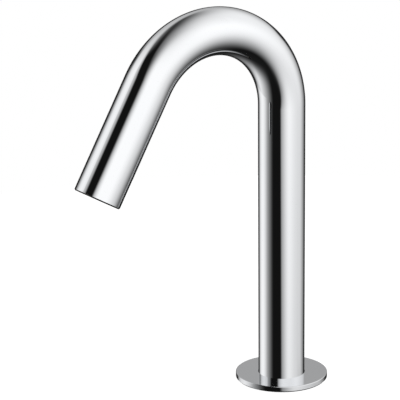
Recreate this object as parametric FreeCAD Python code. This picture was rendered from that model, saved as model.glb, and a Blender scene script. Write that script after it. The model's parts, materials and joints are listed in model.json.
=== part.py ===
import FreeCAD, Part
import math
import os
from FreeCAD import Placement, Rotation, Vector

# Deck-mounted gooseneck sensor tap. A chromed brass tube rises from a round base flange, bends over in one
# large arc and comes down at a tilt. The tip holds a moulded outlet body with the aerator cartridge and,
# beside it, the infra-red sensor that opens the remote valve. A hose and the sensor's lead run down inside
# the tube to the foot of the threaded shank, which a nut clamps to the deck from below.
#
# Millimetres. The origin is the centre of the flange's underside, +Z is up and the spout points to -Y.

# ------------------------------------------------------------------ spout tube
TUBE_DIAMETER = 26.0
TUBE_WALL = 1.2
COLUMN_HEIGHT = 159.0  # from the deck to where the bend starts
BEND_RADIUS = 46.5  # of the tube's centreline
SPOUT_TILT = 30.0  # degrees between the spout's axis and plumb
SPOUT_STRAIGHT = 66.0  # from the end of the bend to the tip
TIP_CHAMFER = 0.3  # of the outer edge of the tube's tip

# ------------------------------------------------------------------ base flange and its gasket
FLANGE_DIAMETER = 51.6
FLANGE_THICKNESS = 3.4
FLANGE_CHAMFERS = (0.4, 0.2)  # of the rim's upper and lower edges
FLANGE_SEAT_DEPTH = 1.2  # the counterbore that the tube's foot stands in
GASKET_RIM = 5.0  # from the rim to the gasket's outer edge
GASKET_WIDTH = 4.0
GASKET_HEIGHT = 1.2

# ------------------------------------------------------------------ threaded shank, washers and nut
SHANK_DIAMETER = 22.0  # M22
SHANK_PITCH = 1.5
SHANK_WALL = 2.4
SHANK_LENGTH = 50.0  # below the deck face
SHANK_CHAMFER = 0.8
SHANK_LEAD_IN = 12.0  # the first turns at the lower end, with lowered crests so that the nut starts straight
SHANK_LEAD_IN_RELIEF = 0.25  # how much lower in radius those crests are
SPIGOT_LENGTH = 18.0  # how far the shank reaches up into the tube
DECK_THICKNESS = 20.0  # the deck that the nut is set for at rest
WASHER_DIAMETER = 40.0
RUBBER_WASHER_THICKNESS = 3.0
STEEL_WASHER_THICKNESS = 1.5
NUT_WIDTH = 30.0  # across flats
NUT_HEIGHT = 7.0

# ------------------------------------------------------------------ plug, clips, stem and socket at the shank's foot
PLUG_COUNTERBORE = 0.6  # how much wider in radius the shank's bore is where it takes the plug
PLUG_THICKNESS = 5.0
CIRCLIP_THICKNESS = 1.0
CIRCLIP_BITE = 0.5  # how far the circlip's groove goes into the shank
CIRCLIP_WIDTH = 0.95
CIRCLIP_GAP = 44.0  # degrees, open towards +X
CIRCLIP_LUG_RADIUS = 1.3
CIRCLIP_EYE_RADIUS = 0.6
FOOT_REST = 1.0  # from the circlip's groove to the shank's lower end
STEM_DIAMETER = 9.525  # 3/8 in push-fit stem
STEM_LENGTH = 18.0
STEM_CHAMFER = 0.6
STEM_COLLAR_DIAMETER = 10.2  # the stop that the connector meets
STEM_COLLAR_HEIGHT = 3.0
STEM_BORE = 6.0
STEM_NECK_DIAMETER = 8.0
STEM_CLIP_DIAMETER = 9.6
STEM_CLIP_GROOVE = 0.6
STEM_CLIP_THICKNESS = 0.8
SOCKET_DIAMETER = 5.6
SOCKET_BORE = 3.6  # takes a 3.5 mm jack
SOCKET_BORE_DEPTH = 15.0
SOCKET_COLLAR = 0.5
SOCKET_COLLAR_HEIGHT = 1.0
SOCKET_BARREL_LENGTH = 13.0  # above the collar
SOCKET_TAIL_LENGTH = 3.0
SOCKET_TAIL_WALL = 0.6
SOCKET_WALL = 1.25  # between the socket and the plug's edge

# ------------------------------------------------------------------ hose, its ends, and the sensor's lead
HOSE_DIAMETER = 8.0
HOSE_BORE = 5.1
HOSE_TO_SHANK = 0.55  # from the ferrule to the shank's bore
HOSE_SHIFT_RADIUS = 60.0  # of the two arcs that carry the hose sideways in the column
BARB_COUNT = 3
BARB_PITCH = 3.4
BARB_DEPTH = 0.35
BARB_BORE = 3.4
BARB_SHOULDER = 1.2  # from the last barb to the shoulder that stops the hose
FERRULE_WALL = 0.6
FERRULE_LENGTH = 10.0
FERRULE_CRIMPS = 2
FERRULE_CRIMP_WIDTH = 2.6
FERRULE_CRIMP_DEPTH = 0.3
LEAD_DIAMETER = 3.0
LEAD_SHIFT_RADIUS = 40.0
LEAD_SHIFT_HEIGHT = 30.0  # where the lead and hose start to shift sideways, above the deck
NIPPLE_STUB_DIAMETER = 7.2
NIPPLE_STUB_LENGTH = 7.8
NIPPLE_HEX_WIDTH = 9.0
NIPPLE_HEX_HEIGHT = 3.0
NIPPLE_RING_SECTION = 1.0

# ------------------------------------------------------------------ outlet body, in the tip's own frame: +Z up the tube, +Y underside
OUTLET_RECESS = 0.8  # from the tube's end to the body's face
OUTLET_LENGTH = 27.2
OUTLET_CHAMFER = 0.3
OUTLET_RING_SECTION = 1.2
OUTLET_RING_GROOVE = 1.4
OUTLET_RING_HEIGHTS = (13.0, 24.0)  # of the two rings' middles above the tip
WATERWAY_CHAMBER = (5.0, 2.2)  # radius and height of the chamber above the aerator
WATERWAY_RADIUS = 2.6
WATERWAY_TAPER = 4.0
GRUB_DIAMETER = 3.0
GRUB_HEIGHT = 18.5  # above the tip
GRUB_BITE = 3.2  # how far the screw goes into the body
GRUB_SOCKET_WIDTH = 1.5
GRUB_SOCKET_DEPTH = 1.5

# ------------------------------------------------------------------ aerator cartridge
AERATOR_DIAMETER = 14.0  # M14
AERATOR_PITCH = 1.0
AERATOR_HEIGHT = 8.0
AERATOR_WALL = 1.0
AERATOR_LIP = 0.6  # the inward lip that keeps the grid in
AERATOR_LIP_HEIGHT = 0.8
AERATOR_SET_BACK = 0.2  # from the body's face to the cartridge's face
AERATOR_BACK_WALL = 1.2  # of the outlet body behind the cartridge
KEY_NOTCHES = 4
KEY_NOTCH_WIDTH = 2.0
KEY_NOTCH_DEPTH = 0.7
GRID_HEIGHT = 3.0
GRID_CELL = 1.35  # across a hexagon's flats
GRID_WEB = 0.3
SCREEN_HEIGHT = 0.4
SCREEN_HOLE = 1.1  # across a hexagon's flats
SCREEN_PITCH = 1.65
REGULATOR_HEIGHT = 2.2
REGULATOR_PORTS = 6
REGULATOR_PORT_WIDTH = 1.1  # across a hexagon's flats
REGULATOR_PORT_CIRCLE = 8.4
REGULATOR_GROOVE = (2.2, 3.6, 0.9)  # inner radius, outer radius and depth of its ring's groove
AERATOR_GASKET_HEIGHT = 1.0
AERATOR_GASKET_WIDTH = 2.2

# ------------------------------------------------------------------ infra-red sensor
SENSOR_WALL = 0.75  # of the outlet body between the cartridge and the sensor
POCKET_WIDTH = 10.0
POCKET_DEPTH = 5.0
WINDOW_THICKNESS = 1.55
WINDOW_SET_BACK = 0.15
SEAL_THICKNESS = 0.3
APERTURE_MARGIN = 0.8
APERTURE_HEIGHT = 1.4
CASE_HEIGHT = 19.8
CASE_WALL = 0.6
CASE_FLOOR = 1.0
LIGHT_BARRIER = 0.5  # thickness of the rib between emitter and receiver
LIGHT_BARRIER_HEIGHT = 3.0
EYE_DIAMETER = 3.0
EYE_SPACING = 4.2
EYE_RIM = 0.2
EYE_RIM_HEIGHT = 0.8
EYE_LEG_WIDTH = 0.5  # of the square legs
EYE_LEG_SPACING = 1.2
EYE_LEG_LENGTH = 3.5
BOARD_SIZE = (8.2, 0.8, 14.0)
CHIP_SIZE = (4.0, 0.9, 4.0)
CHIP_HEIGHT = 4.0  # above the board's lower edge
CAP_PLUG_HEIGHT = 1.4
CAP_LID_HEIGHT = 1.5
BOOT_LENGTH = 7.5
BOOT_WALLS = (0.8, 0.4)  # at the cap and at the free end

# ------------------------------------------------------------------ clearances
SLIP_FIT = 0.1  # radius, between pieces that slide together
CLOSE_FIT = 0.05  # radius, between pieces pressed or screwed together
WASHER_FIT = 0.3  # radius, between the shank and the loose washers

# ------------------------------------------------------------------ worked out from the sizes above
TUBE_RADIUS = TUBE_DIAMETER / 2
TUBE_BORE_RADIUS = TUBE_RADIUS - TUBE_WALL
TUBE_FOOT = FLANGE_THICKNESS - FLANGE_SEAT_DEPTH
FLANGE_RADIUS = FLANGE_DIAMETER / 2
SHANK_RADIUS = SHANK_DIAMETER / 2
SHANK_BORE_RADIUS = SHANK_RADIUS - SHANK_WALL
SPIGOT_RADIUS = TUBE_BORE_RADIUS - CLOSE_FIT
HOSE_RADIUS = HOSE_DIAMETER / 2
BARB_RADIUS = HOSE_BORE / 2 - CLOSE_FIT
BARB_LENGTH = BARB_COUNT * BARB_PITCH + BARB_SHOULDER
FERRULE_RADIUS = HOSE_RADIUS + CLOSE_FIT + FERRULE_WALL

OUTLET_RADIUS = TUBE_BORE_RADIUS - SLIP_FIT - CLOSE_FIT
OUTLET_TOP = OUTLET_RECESS + OUTLET_LENGTH
AERATOR_RADIUS = AERATOR_DIAMETER / 2
AERATOR_BORE_RADIUS = AERATOR_RADIUS + CLOSE_FIT
AERATOR_INNER_RADIUS = AERATOR_RADIUS - AERATOR_WALL
AERATOR_Y = OUTLET_RADIUS - AERATOR_BACK_WALL - AERATOR_BORE_RADIUS
AERATOR_FACE = OUTLET_RECESS + AERATOR_SET_BACK
AERATOR_TOP = AERATOR_FACE + AERATOR_HEIGHT
AERATOR_SEAT = AERATOR_TOP + AERATOR_GASKET_HEIGHT
SENSOR_Y = AERATOR_Y - AERATOR_BORE_RADIUS - SENSOR_WALL - POCKET_DEPTH / 2
NIPPLE_SHOULDER = OUTLET_TOP + NIPPLE_HEX_HEIGHT

WINDOW_FACE = OUTLET_RECESS + WINDOW_SET_BACK
SEAL_FOOT = WINDOW_FACE + WINDOW_THICKNESS
APERTURE_FOOT = SEAL_FOOT + SEAL_THICKNESS
CASE_FOOT = APERTURE_FOOT + APERTURE_HEIGHT
CASE_TOP = CASE_FOOT + CASE_HEIGHT
EYE_SEAT = CASE_FOOT + CASE_FLOOR
BOARD_TOP = CASE_TOP - CAP_PLUG_HEIGHT - SLIP_FIT
CAP_TOP = CASE_TOP + CAP_LID_HEIGHT

SHANK_FOOT = -SHANK_LENGTH
PLUG_FOOT = SHANK_FOOT + FOOT_REST + CIRCLIP_THICKNESS
PLUG_TOP = PLUG_FOOT + PLUG_THICKNESS
PLUG_BORE_RADIUS = SHANK_BORE_RADIUS + PLUG_COUNTERBORE
PLUG_RADIUS = PLUG_BORE_RADIUS - SLIP_FIT
STEM_Y = -(SHANK_BORE_RADIUS - HOSE_TO_SHANK - FERRULE_RADIUS)
SOCKET_Y = PLUG_RADIUS - SOCKET_WALL - SOCKET_DIAMETER / 2 - CLOSE_FIT
SOCKET_BARREL_TOP = PLUG_TOP + SOCKET_COLLAR_HEIGHT + SOCKET_BARREL_LENGTH
STEM_SHOULDER = PLUG_TOP + STEM_CLIP_THICKNESS + STEM_CLIP_GROOVE

BEND_END = Vector(
    0,
    -BEND_RADIUS * (1 + math.cos(math.radians(SPOUT_TILT))),
    COLUMN_HEIGHT + BEND_RADIUS * math.sin(math.radians(SPOUT_TILT)),
)
SPOUT_DIRECTION = Vector(0, -math.sin(math.radians(SPOUT_TILT)), -math.cos(math.radians(SPOUT_TILT)))
TIP = BEND_END + SPOUT_DIRECTION * SPOUT_STRAIGHT
TIP_FRAME = Placement(TIP, Rotation(Vector(1, 0, 0), -SPOUT_TILT))


# ------------------------------------------------------------------ shapes that several pieces share
def cylinder(radius, low, high, x=0.0, y=0.0):
    """An upright cylinder between two heights."""
    return Part.makeCylinder(radius, high - low, Vector(x, y, low))


def ring(outer, inner, low, high, x=0.0, y=0.0):
    """An upright hollow cylinder between two heights."""
    return cylinder(outer, low, high, x, y).cut(cylinder(inner, low, high, x, y))


def turned(outline, x=0.0, y=0.0):
    """A solid turned round an upright axis from a closed outline of (radius, height) corners."""
    corners = [Vector(x + radius, y, height) for radius, height in outline]
    face = Part.Face(Part.makePolygon(corners + corners[:1]))
    return face.revolve(Vector(x, y, 0), Vector(0, 0, 1), 360)


def obround(width, depth, low, high, y):
    """An upright prism whose section is a slot with round ends, centred on x = 0."""
    radius = depth / 2
    straight = width / 2 - radius
    corners = [
        Vector(-straight, y - radius, low),
        Vector(straight, y - radius, low),
        Vector(straight, y + radius, low),
        Vector(-straight, y + radius, low),
    ]
    right = Part.Arc(corners[1], Vector(straight + radius, y, low), corners[2])
    left = Part.Arc(corners[3], Vector(-straight - radius, y, low), corners[0])
    outline = Part.Wire(
        [
            Part.makeLine(corners[0], corners[1]),
            right.toShape(),
            Part.makeLine(corners[2], corners[3]),
            left.toShape(),
        ]
    )
    return Part.Face(outline).extrude(Vector(0, 0, high - low))


def hexagon(width, low, high, x=0.0, y=0.0, turn=0.0):
    """An upright hexagonal prism, measured across its flats."""
    corner = width / 2 / math.cos(math.radians(30))
    angles = [math.radians(turn + 60 * step) for step in range(7)]
    corners = [Vector(x + corner * math.cos(a), y + corner * math.sin(a), low) for a in angles]
    return Part.Face(Part.makePolygon(corners)).extrude(Vector(0, 0, high - low))


def soft_ring(middle, section, height, x=0.0, y=0.0):
    """A ring of rubber cord, drawn with a six-sided section that lies flat against its groove's wall."""
    corner = section / 2 / math.cos(math.radians(30))
    angles = [math.radians(30 + 60 * step) for step in range(6)]
    return turned([(middle + corner * math.cos(a), height + corner * math.sin(a)) for a in angles], x, y)


def honeycomb(radius, pitch):
    """Centres of a hexagonal pattern that fit inside a circle."""
    rows = int(radius / pitch) + 1
    places = []
    for row in range(-rows, rows + 1):
        for column in range(-2 * rows, 2 * rows + 1):
            x = pitch * (column + row / 2)
            y = pitch * row * math.sin(math.radians(60))
            if math.hypot(x, y) <= radius:
                places.append((x, y))
    return places


def barbs(foot, x, y):
    """A hose barb that stands on a shoulder, with its teeth pointing back to it."""
    root = BARB_RADIUS - BARB_DEPTH
    outline = [(0, foot), (root, foot)]
    for tooth in range(BARB_COUNT):
        height = foot + BARB_SHOULDER + tooth * BARB_PITCH
        outline += [(root, height), (BARB_RADIUS, height)]
    top = foot + BARB_LENGTH
    outline += [(root, top), (0, top)]
    return turned(outline, x, y)


def is_circle(edge, radius):
    """Whether an edge is a circle of this radius."""
    return hasattr(edge.Curve, "Radius") and abs(edge.Curve.Radius - radius) < 1e-6


def at_tip(shape):
    """Moves a shape from the tip's own frame to its place on the spout."""
    placed = shape.copy()
    placed.Placement = TIP_FRAME.multiply(placed.Placement)
    return placed


class Route:
    """A path in the YZ plane, drawn like a pen stroke as straight runs joined by tangent arcs."""

    def __init__(self, y, z, heading=90.0):
        self.place = Vector(0, y, z)
        self.heading = heading
        self.strokes = []

    def direction(self):
        """The unit vector along the route at its present end."""
        angle = math.radians(self.heading)
        return Vector(0, math.cos(angle), math.sin(angle))

    def run(self, length):
        """Goes straight on."""
        self.strokes.append(("run", self.place, self.direction(), length))
        self.place = self.place + self.direction() * length
        return self

    def turn(self, radius, angle):
        """Goes round an arc, to the left where the angle is positive."""
        side = Rotation(Vector(1, 0, 0), math.copysign(90, angle)).multVec(self.direction())
        centre = self.place + side * radius
        self.strokes.append(("turn", self.place, self.direction(), centre, angle))
        swing = Rotation(Vector(1, 0, 0), angle)
        self.place = centre + swing.multVec(self.place - centre)
        self.heading += angle
        return self

    def shift(self, distance, radius):
        """Steps sideways to the left by a distance, through two equal arcs."""
        if abs(distance) < 1e-6:
            return self
        angle = math.degrees(math.acos(1 - abs(distance) / (2 * radius)))
        signed = math.copysign(angle, distance)
        return self.turn(radius, signed).turn(radius, -signed)

    def solid(self, radius):
        """A round bar of this radius along the whole route."""
        pieces = []
        for stroke in self.strokes:
            kind, start, direction = stroke[:3]
            if kind == "run":
                pieces.append(Part.makeCylinder(radius, stroke[3], start, direction))
            else:
                section = Part.Face(Part.Wire(Part.makeCircle(radius, start, direction)))
                centre, angle = stroke[3:]
                pieces.append(section.revolve(centre, Vector(math.copysign(1, angle), 0, 0), abs(angle)))
        return pieces[0].multiFuse(pieces[1:]).removeSplitter()


def neck_route(offset, foot, base_offset, shift_radius, tip_height):
    """The line that a hose or lead takes inside the tube, from the shank's foot to the tip.

    Offsets are towards the back, from the tube's centreline; the tip height is measured up from the tip.
    """
    shift = base_offset - offset
    angle = math.acos(1 - abs(shift) / (2 * shift_radius))
    shift_length = 2 * shift_radius * math.sin(angle)
    route = Route(base_offset, foot)
    route.run(LEAD_SHIFT_HEIGHT - foot)
    route.shift(shift, shift_radius)
    rest_of_column = COLUMN_HEIGHT - LEAD_SHIFT_HEIGHT - (shift_length if abs(shift) > 1e-6 else 0.0)
    route.run(rest_of_column)
    route.turn(BEND_RADIUS + offset, 180 - SPOUT_TILT)
    return route.run(SPOUT_STRAIGHT - tip_height)


# ------------------------------------------------------------------ spout and base
def spout_tube():
    """The bent tube, with its tip's outer edge broken and a hole for the grub screw in its underside."""
    route = Route(0, TUBE_FOOT)
    route.run(COLUMN_HEIGHT - TUBE_FOOT)
    route.turn(BEND_RADIUS, 180 - SPOUT_TILT)
    route.run(SPOUT_STRAIGHT)
    tube = route.solid(TUBE_RADIUS).cut(route.solid(TUBE_BORE_RADIUS))
    tip_edges = [
        edge
        for edge in tube.Edges
        if is_circle(edge, TUBE_RADIUS) and edge.CenterOfMass.distanceToPoint(TIP) < TIP_CHAMFER
    ]
    tube = tube.makeChamfer(TIP_CHAMFER, tip_edges)
    hole = Part.makeCylinder(
        GRUB_DIAMETER / 2 + SLIP_FIT,
        TUBE_RADIUS,
        Vector(0, TUBE_RADIUS / 2, GRUB_HEIGHT),
        Vector(0, 1, 0),
    )
    return tube.cut(at_tip(hole))


def base_flange():
    """The round escutcheon: a seat for the tube on top, a groove for the gasket below."""
    bore = SPIGOT_RADIUS + SLIP_FIT
    seat = TUBE_RADIUS + SLIP_FIT
    upper, lower = FLANGE_CHAMFERS
    groove_outer = FLANGE_RADIUS - GASKET_RIM
    groove_inner = groove_outer - GASKET_WIDTH
    return turned(
        [
            (bore, 0),
            (groove_inner, 0),
            (groove_inner, GASKET_HEIGHT),
            (groove_outer, GASKET_HEIGHT),
            (groove_outer, 0),
            (FLANGE_RADIUS - lower, 0),
            (FLANGE_RADIUS, lower),
            (FLANGE_RADIUS, FLANGE_THICKNESS - upper),
            (FLANGE_RADIUS - upper, FLANGE_THICKNESS),
            (seat, FLANGE_THICKNESS),
            (seat, TUBE_FOOT),
            (bore, TUBE_FOOT),
        ]
    )


def flange_gasket():
    """The flat rubber ring that seals the flange to the deck, flush with the flange's underside."""
    outer = FLANGE_RADIUS - GASKET_RIM - CLOSE_FIT
    return ring(outer, outer - GASKET_WIDTH + 2 * CLOSE_FIT, 0, GASKET_HEIGHT - CLOSE_FIT)


def threaded_shank():
    """The brass shank: a spigot brazed into the tube, and an M22 stem below it that goes through the deck."""
    lead_in = SHANK_RADIUS - SHANK_LEAD_IN_RELIEF
    groove_low = SHANK_FOOT + FOOT_REST
    top = TUBE_FOOT + SPIGOT_LENGTH
    return turned(
        [
            (PLUG_BORE_RADIUS, SHANK_FOOT),
            (lead_in - SHANK_CHAMFER, SHANK_FOOT),
            (lead_in, SHANK_FOOT + SHANK_CHAMFER),
            (lead_in, SHANK_FOOT + SHANK_LEAD_IN),
            (SHANK_RADIUS, SHANK_FOOT + SHANK_LEAD_IN),
            (SHANK_RADIUS, -CLOSE_FIT),
            (SPIGOT_RADIUS, -CLOSE_FIT),
            (SPIGOT_RADIUS, top - SHANK_CHAMFER),
            (SPIGOT_RADIUS - SHANK_CHAMFER, top),
            (SHANK_BORE_RADIUS, top),
            (SHANK_BORE_RADIUS, PLUG_TOP),
            (PLUG_BORE_RADIUS, PLUG_TOP),
            (PLUG_BORE_RADIUS, PLUG_FOOT),
            (PLUG_BORE_RADIUS + CIRCLIP_BITE, PLUG_FOOT),
            (PLUG_BORE_RADIUS + CIRCLIP_BITE, groove_low),
            (PLUG_BORE_RADIUS, groove_low),
        ]
    )


def deck_rubber_washer():
    """The soft washer that the nut presses against the deck from below."""
    top = -DECK_THICKNESS
    return ring(WASHER_DIAMETER / 2, SHANK_RADIUS + WASHER_FIT, top - RUBBER_WASHER_THICKNESS, top)


def deck_steel_washer():
    """The steel washer between the nut and the rubber one."""
    top = -DECK_THICKNESS - RUBBER_WASHER_THICKNESS
    return ring(WASHER_DIAMETER / 2, SHANK_RADIUS + WASHER_FIT, top - STEEL_WASHER_THICKNESS, top)


def lock_nut():
    """The hexagon nut, with its corners turned off at both faces and its bore countersunk."""
    top = -DECK_THICKNESS - RUBBER_WASHER_THICKNESS - STEEL_WASHER_THICKNESS
    foot = top - NUT_HEIGHT
    corner = NUT_WIDTH / 2 / math.cos(math.radians(30))
    turned_off = (corner - NUT_WIDTH / 2) * math.tan(math.radians(30))
    bore = SHANK_RADIUS + CLOSE_FIT
    envelope = turned(
        [
            (bore + SHANK_CHAMFER, foot),
            (NUT_WIDTH / 2, foot),
            (corner, foot + turned_off),
            (corner, top - turned_off),
            (NUT_WIDTH / 2, top),
            (bore + SHANK_CHAMFER, top),
            (bore, top - SHANK_CHAMFER),
            (bore, foot + SHANK_CHAMFER),
        ]
    )
    return hexagon(NUT_WIDTH, foot, top).common(envelope)


# ------------------------------------------------------------------ foot of the shank
def shank_end_plug():
    """The moulded plug that carries the water stem and the lead's socket."""
    plug = cylinder(PLUG_RADIUS, PLUG_FOOT, PLUG_TOP - CLOSE_FIT)
    plug = plug.cut(cylinder(STEM_NECK_DIAMETER / 2 + CLOSE_FIT, PLUG_FOOT, PLUG_TOP, 0, STEM_Y))
    return plug.cut(cylinder(SOCKET_DIAMETER / 2 + CLOSE_FIT, PLUG_FOOT, PLUG_TOP, 0, SOCKET_Y))


def end_plug_circlip():
    """The internal circlip that keeps the plug in, with its two eyes at the gap."""
    low = PLUG_FOOT - CIRCLIP_THICKNESS + CLOSE_FIT
    high = PLUG_FOOT
    outer = PLUG_BORE_RADIUS + CIRCLIP_BITE - CLOSE_FIT
    clip = ring(outer, outer - CIRCLIP_WIDTH, low, high)
    half_gap = math.radians(CIRCLIP_GAP / 2)
    reach = outer * 1.2
    wedge = Part.makePolygon(
        [
            Vector(0, 0, low),
            Vector(reach, reach * math.tan(half_gap), low),
            Vector(reach, -reach * math.tan(half_gap), low),
            Vector(0, 0, low),
        ]
    )
    clip = clip.cut(Part.Face(wedge).extrude(Vector(0, 0, high - low)))
    eye_circle = PLUG_BORE_RADIUS - CIRCLIP_LUG_RADIUS - CLOSE_FIT
    eye_angle = half_gap + math.asin(CIRCLIP_LUG_RADIUS / eye_circle)
    for side in (1, -1):
        x = eye_circle * math.cos(side * eye_angle)
        y = eye_circle * math.sin(side * eye_angle)
        clip = clip.fuse(cylinder(CIRCLIP_LUG_RADIUS, low, high, x, y))
        clip = clip.cut(cylinder(CIRCLIP_EYE_RADIUS, low, high, x, y))
    return clip.removeSplitter()


def inlet_stem():
    """The water inlet: a push-fit stem below the plug, a neck through it and a hose barb above."""
    foot = PLUG_FOOT - STEM_LENGTH
    radius = STEM_DIAMETER / 2
    collar = STEM_COLLAR_DIAMETER / 2
    collar_foot = PLUG_FOOT - STEM_COLLAR_HEIGHT
    neck = STEM_NECK_DIAMETER / 2
    groove = neck - STEM_CLIP_GROOVE
    clip_top = PLUG_TOP + STEM_CLIP_THICKNESS + CLOSE_FIT
    body = turned(
        [
            (0, foot),
            (radius - STEM_CHAMFER, foot),
            (radius, foot + STEM_CHAMFER),
            (radius, collar_foot),
            (collar, collar_foot),
            (collar, PLUG_FOOT - CLOSE_FIT),
            (neck, PLUG_FOOT - CLOSE_FIT),
            (neck, PLUG_TOP),
            (groove, PLUG_TOP),
            (groove, clip_top),
            (neck, clip_top),
            (neck, STEM_SHOULDER),
            (0, STEM_SHOULDER),
        ],
        0,
        STEM_Y,
    )
    stem = body.fuse(barbs(STEM_SHOULDER, 0, STEM_Y)).removeSplitter()
    narrow = BARB_BORE / 2
    wide = STEM_BORE / 2
    bore = turned(
        [
            (0, foot),
            (wide, foot),
            (wide, PLUG_FOOT - wide),
            (narrow, PLUG_FOOT + wide - narrow),
            (narrow, STEM_SHOULDER + BARB_LENGTH),
            (0, STEM_SHOULDER + BARB_LENGTH),
        ],
        0,
        STEM_Y,
    )
    return stem.cut(bore)


def stem_retaining_clip():
    """The open ring that snaps round the stem's groove on top of the plug."""
    low = PLUG_TOP
    high = PLUG_TOP + STEM_CLIP_THICKNESS
    inner = STEM_NECK_DIAMETER / 2 - STEM_CLIP_GROOVE + CLOSE_FIT
    clip = ring(STEM_CLIP_DIAMETER / 2, inner, low, high, 0, STEM_Y)
    mouth = Part.makeBox(
        STEM_CLIP_DIAMETER,
        inner * 2 * math.cos(math.radians(35)),
        high - low,
        Vector(0, STEM_Y - inner * math.cos(math.radians(35)), low),
    )
    return clip.cut(mouth)


def lead_socket():
    """The jack socket that the valve's cable plugs into, with a sleeve on top for the sensor's lead."""
    radius = SOCKET_DIAMETER / 2
    lead = LEAD_DIAMETER / 2 + CLOSE_FIT
    collar_top = PLUG_TOP + SOCKET_COLLAR_HEIGHT
    tail_top = SOCKET_BARREL_TOP + SOCKET_TAIL_LENGTH
    bore_top = PLUG_FOOT + SOCKET_BORE_DEPTH
    return turned(
        [
            (SOCKET_BORE / 2, PLUG_FOOT),
            (radius, PLUG_FOOT),
            (radius, PLUG_TOP),
            (radius + SOCKET_COLLAR, PLUG_TOP),
            (radius + SOCKET_COLLAR, collar_top),
            (radius, collar_top),
            (radius, SOCKET_BARREL_TOP),
            (lead + SOCKET_TAIL_WALL, tail_top),
            (lead, tail_top),
            (lead, SOCKET_BARREL_TOP),
            (0, SOCKET_BARREL_TOP),
            (0, bore_top),
            (SOCKET_BORE / 2, bore_top),
        ],
        0,
        SOCKET_Y,
    )


# ------------------------------------------------------------------ water hose and sensor lead
def water_hose():
    """The hose that carries the water up through the tube, from the stem's barb to the nipple's."""
    route = neck_route(-AERATOR_Y, STEM_SHOULDER + CLOSE_FIT, STEM_Y, HOSE_SHIFT_RADIUS, NIPPLE_SHOULDER + CLOSE_FIT)
    return route.solid(HOSE_RADIUS).cut(route.solid(HOSE_BORE / 2))


def ferrule(foot, y):
    """A crimped sleeve round a hose's end."""
    inner = HOSE_RADIUS + CLOSE_FIT
    outline = [(inner, foot), (FERRULE_RADIUS, foot)]
    for crimp in range(FERRULE_CRIMPS):
        middle = foot + FERRULE_LENGTH * (crimp + 0.5) / FERRULE_CRIMPS
        outline.append((FERRULE_RADIUS, middle - FERRULE_CRIMP_WIDTH / 2))
        outline.append((FERRULE_RADIUS - FERRULE_CRIMP_DEPTH, middle))
        outline.append((FERRULE_RADIUS, middle + FERRULE_CRIMP_WIDTH / 2))
    outline += [(FERRULE_RADIUS, foot + FERRULE_LENGTH), (inner, foot + FERRULE_LENGTH)]
    return turned(outline, 0, y)


def lower_hose_ferrule():
    """The sleeve on the stem's barb."""
    return ferrule(STEM_SHOULDER + SLIP_FIT, STEM_Y)


def upper_hose_ferrule():
    """The sleeve on the nipple's barb."""
    return at_tip(ferrule(NIPPLE_SHOULDER + SLIP_FIT, AERATOR_Y))


def hose_nipple():
    """The brass nipple screwed into the outlet body, with a hexagon and a hose barb."""
    foot = OUTLET_TOP - NIPPLE_STUB_LENGTH
    stub = cylinder(NIPPLE_STUB_DIAMETER / 2, foot, OUTLET_TOP, 0, AERATOR_Y)
    groove = ring(
        NIPPLE_STUB_DIAMETER / 2,
        NIPPLE_STUB_DIAMETER / 2 - NIPPLE_RING_SECTION + CLOSE_FIT,
        foot + NIPPLE_RING_SECTION,
        foot + 2.2 * NIPPLE_RING_SECTION,
        0,
        AERATOR_Y,
    )
    grip = hexagon(NIPPLE_HEX_WIDTH, OUTLET_TOP, NIPPLE_SHOULDER, 0, AERATOR_Y)
    nipple = stub.cut(groove).fuse(grip).fuse(barbs(NIPPLE_SHOULDER, 0, AERATOR_Y))
    bore = cylinder(BARB_BORE / 2, foot, NIPPLE_SHOULDER + BARB_LENGTH, 0, AERATOR_Y)
    return at_tip(nipple.removeSplitter().cut(bore))


def nipple_o_ring():
    """The seal in the nipple's groove."""
    middle = (NIPPLE_STUB_DIAMETER - NIPPLE_RING_SECTION) / 2
    height = OUTLET_TOP - NIPPLE_STUB_LENGTH + 1.6 * NIPPLE_RING_SECTION
    return at_tip(soft_ring(middle + CLOSE_FIT / 2, NIPPLE_RING_SECTION - 2 * CLOSE_FIT, height, 0, AERATOR_Y))


def sensor_lead():
    """The sensor's lead, from the socket at the shank's foot to the board behind the sensor's eyes."""
    foot = SOCKET_BARREL_TOP + CLOSE_FIT
    return neck_route(-SENSOR_Y, foot, SOCKET_Y, LEAD_SHIFT_RADIUS, BOARD_TOP + CLOSE_FIT).solid(LEAD_DIAMETER / 2)


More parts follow.
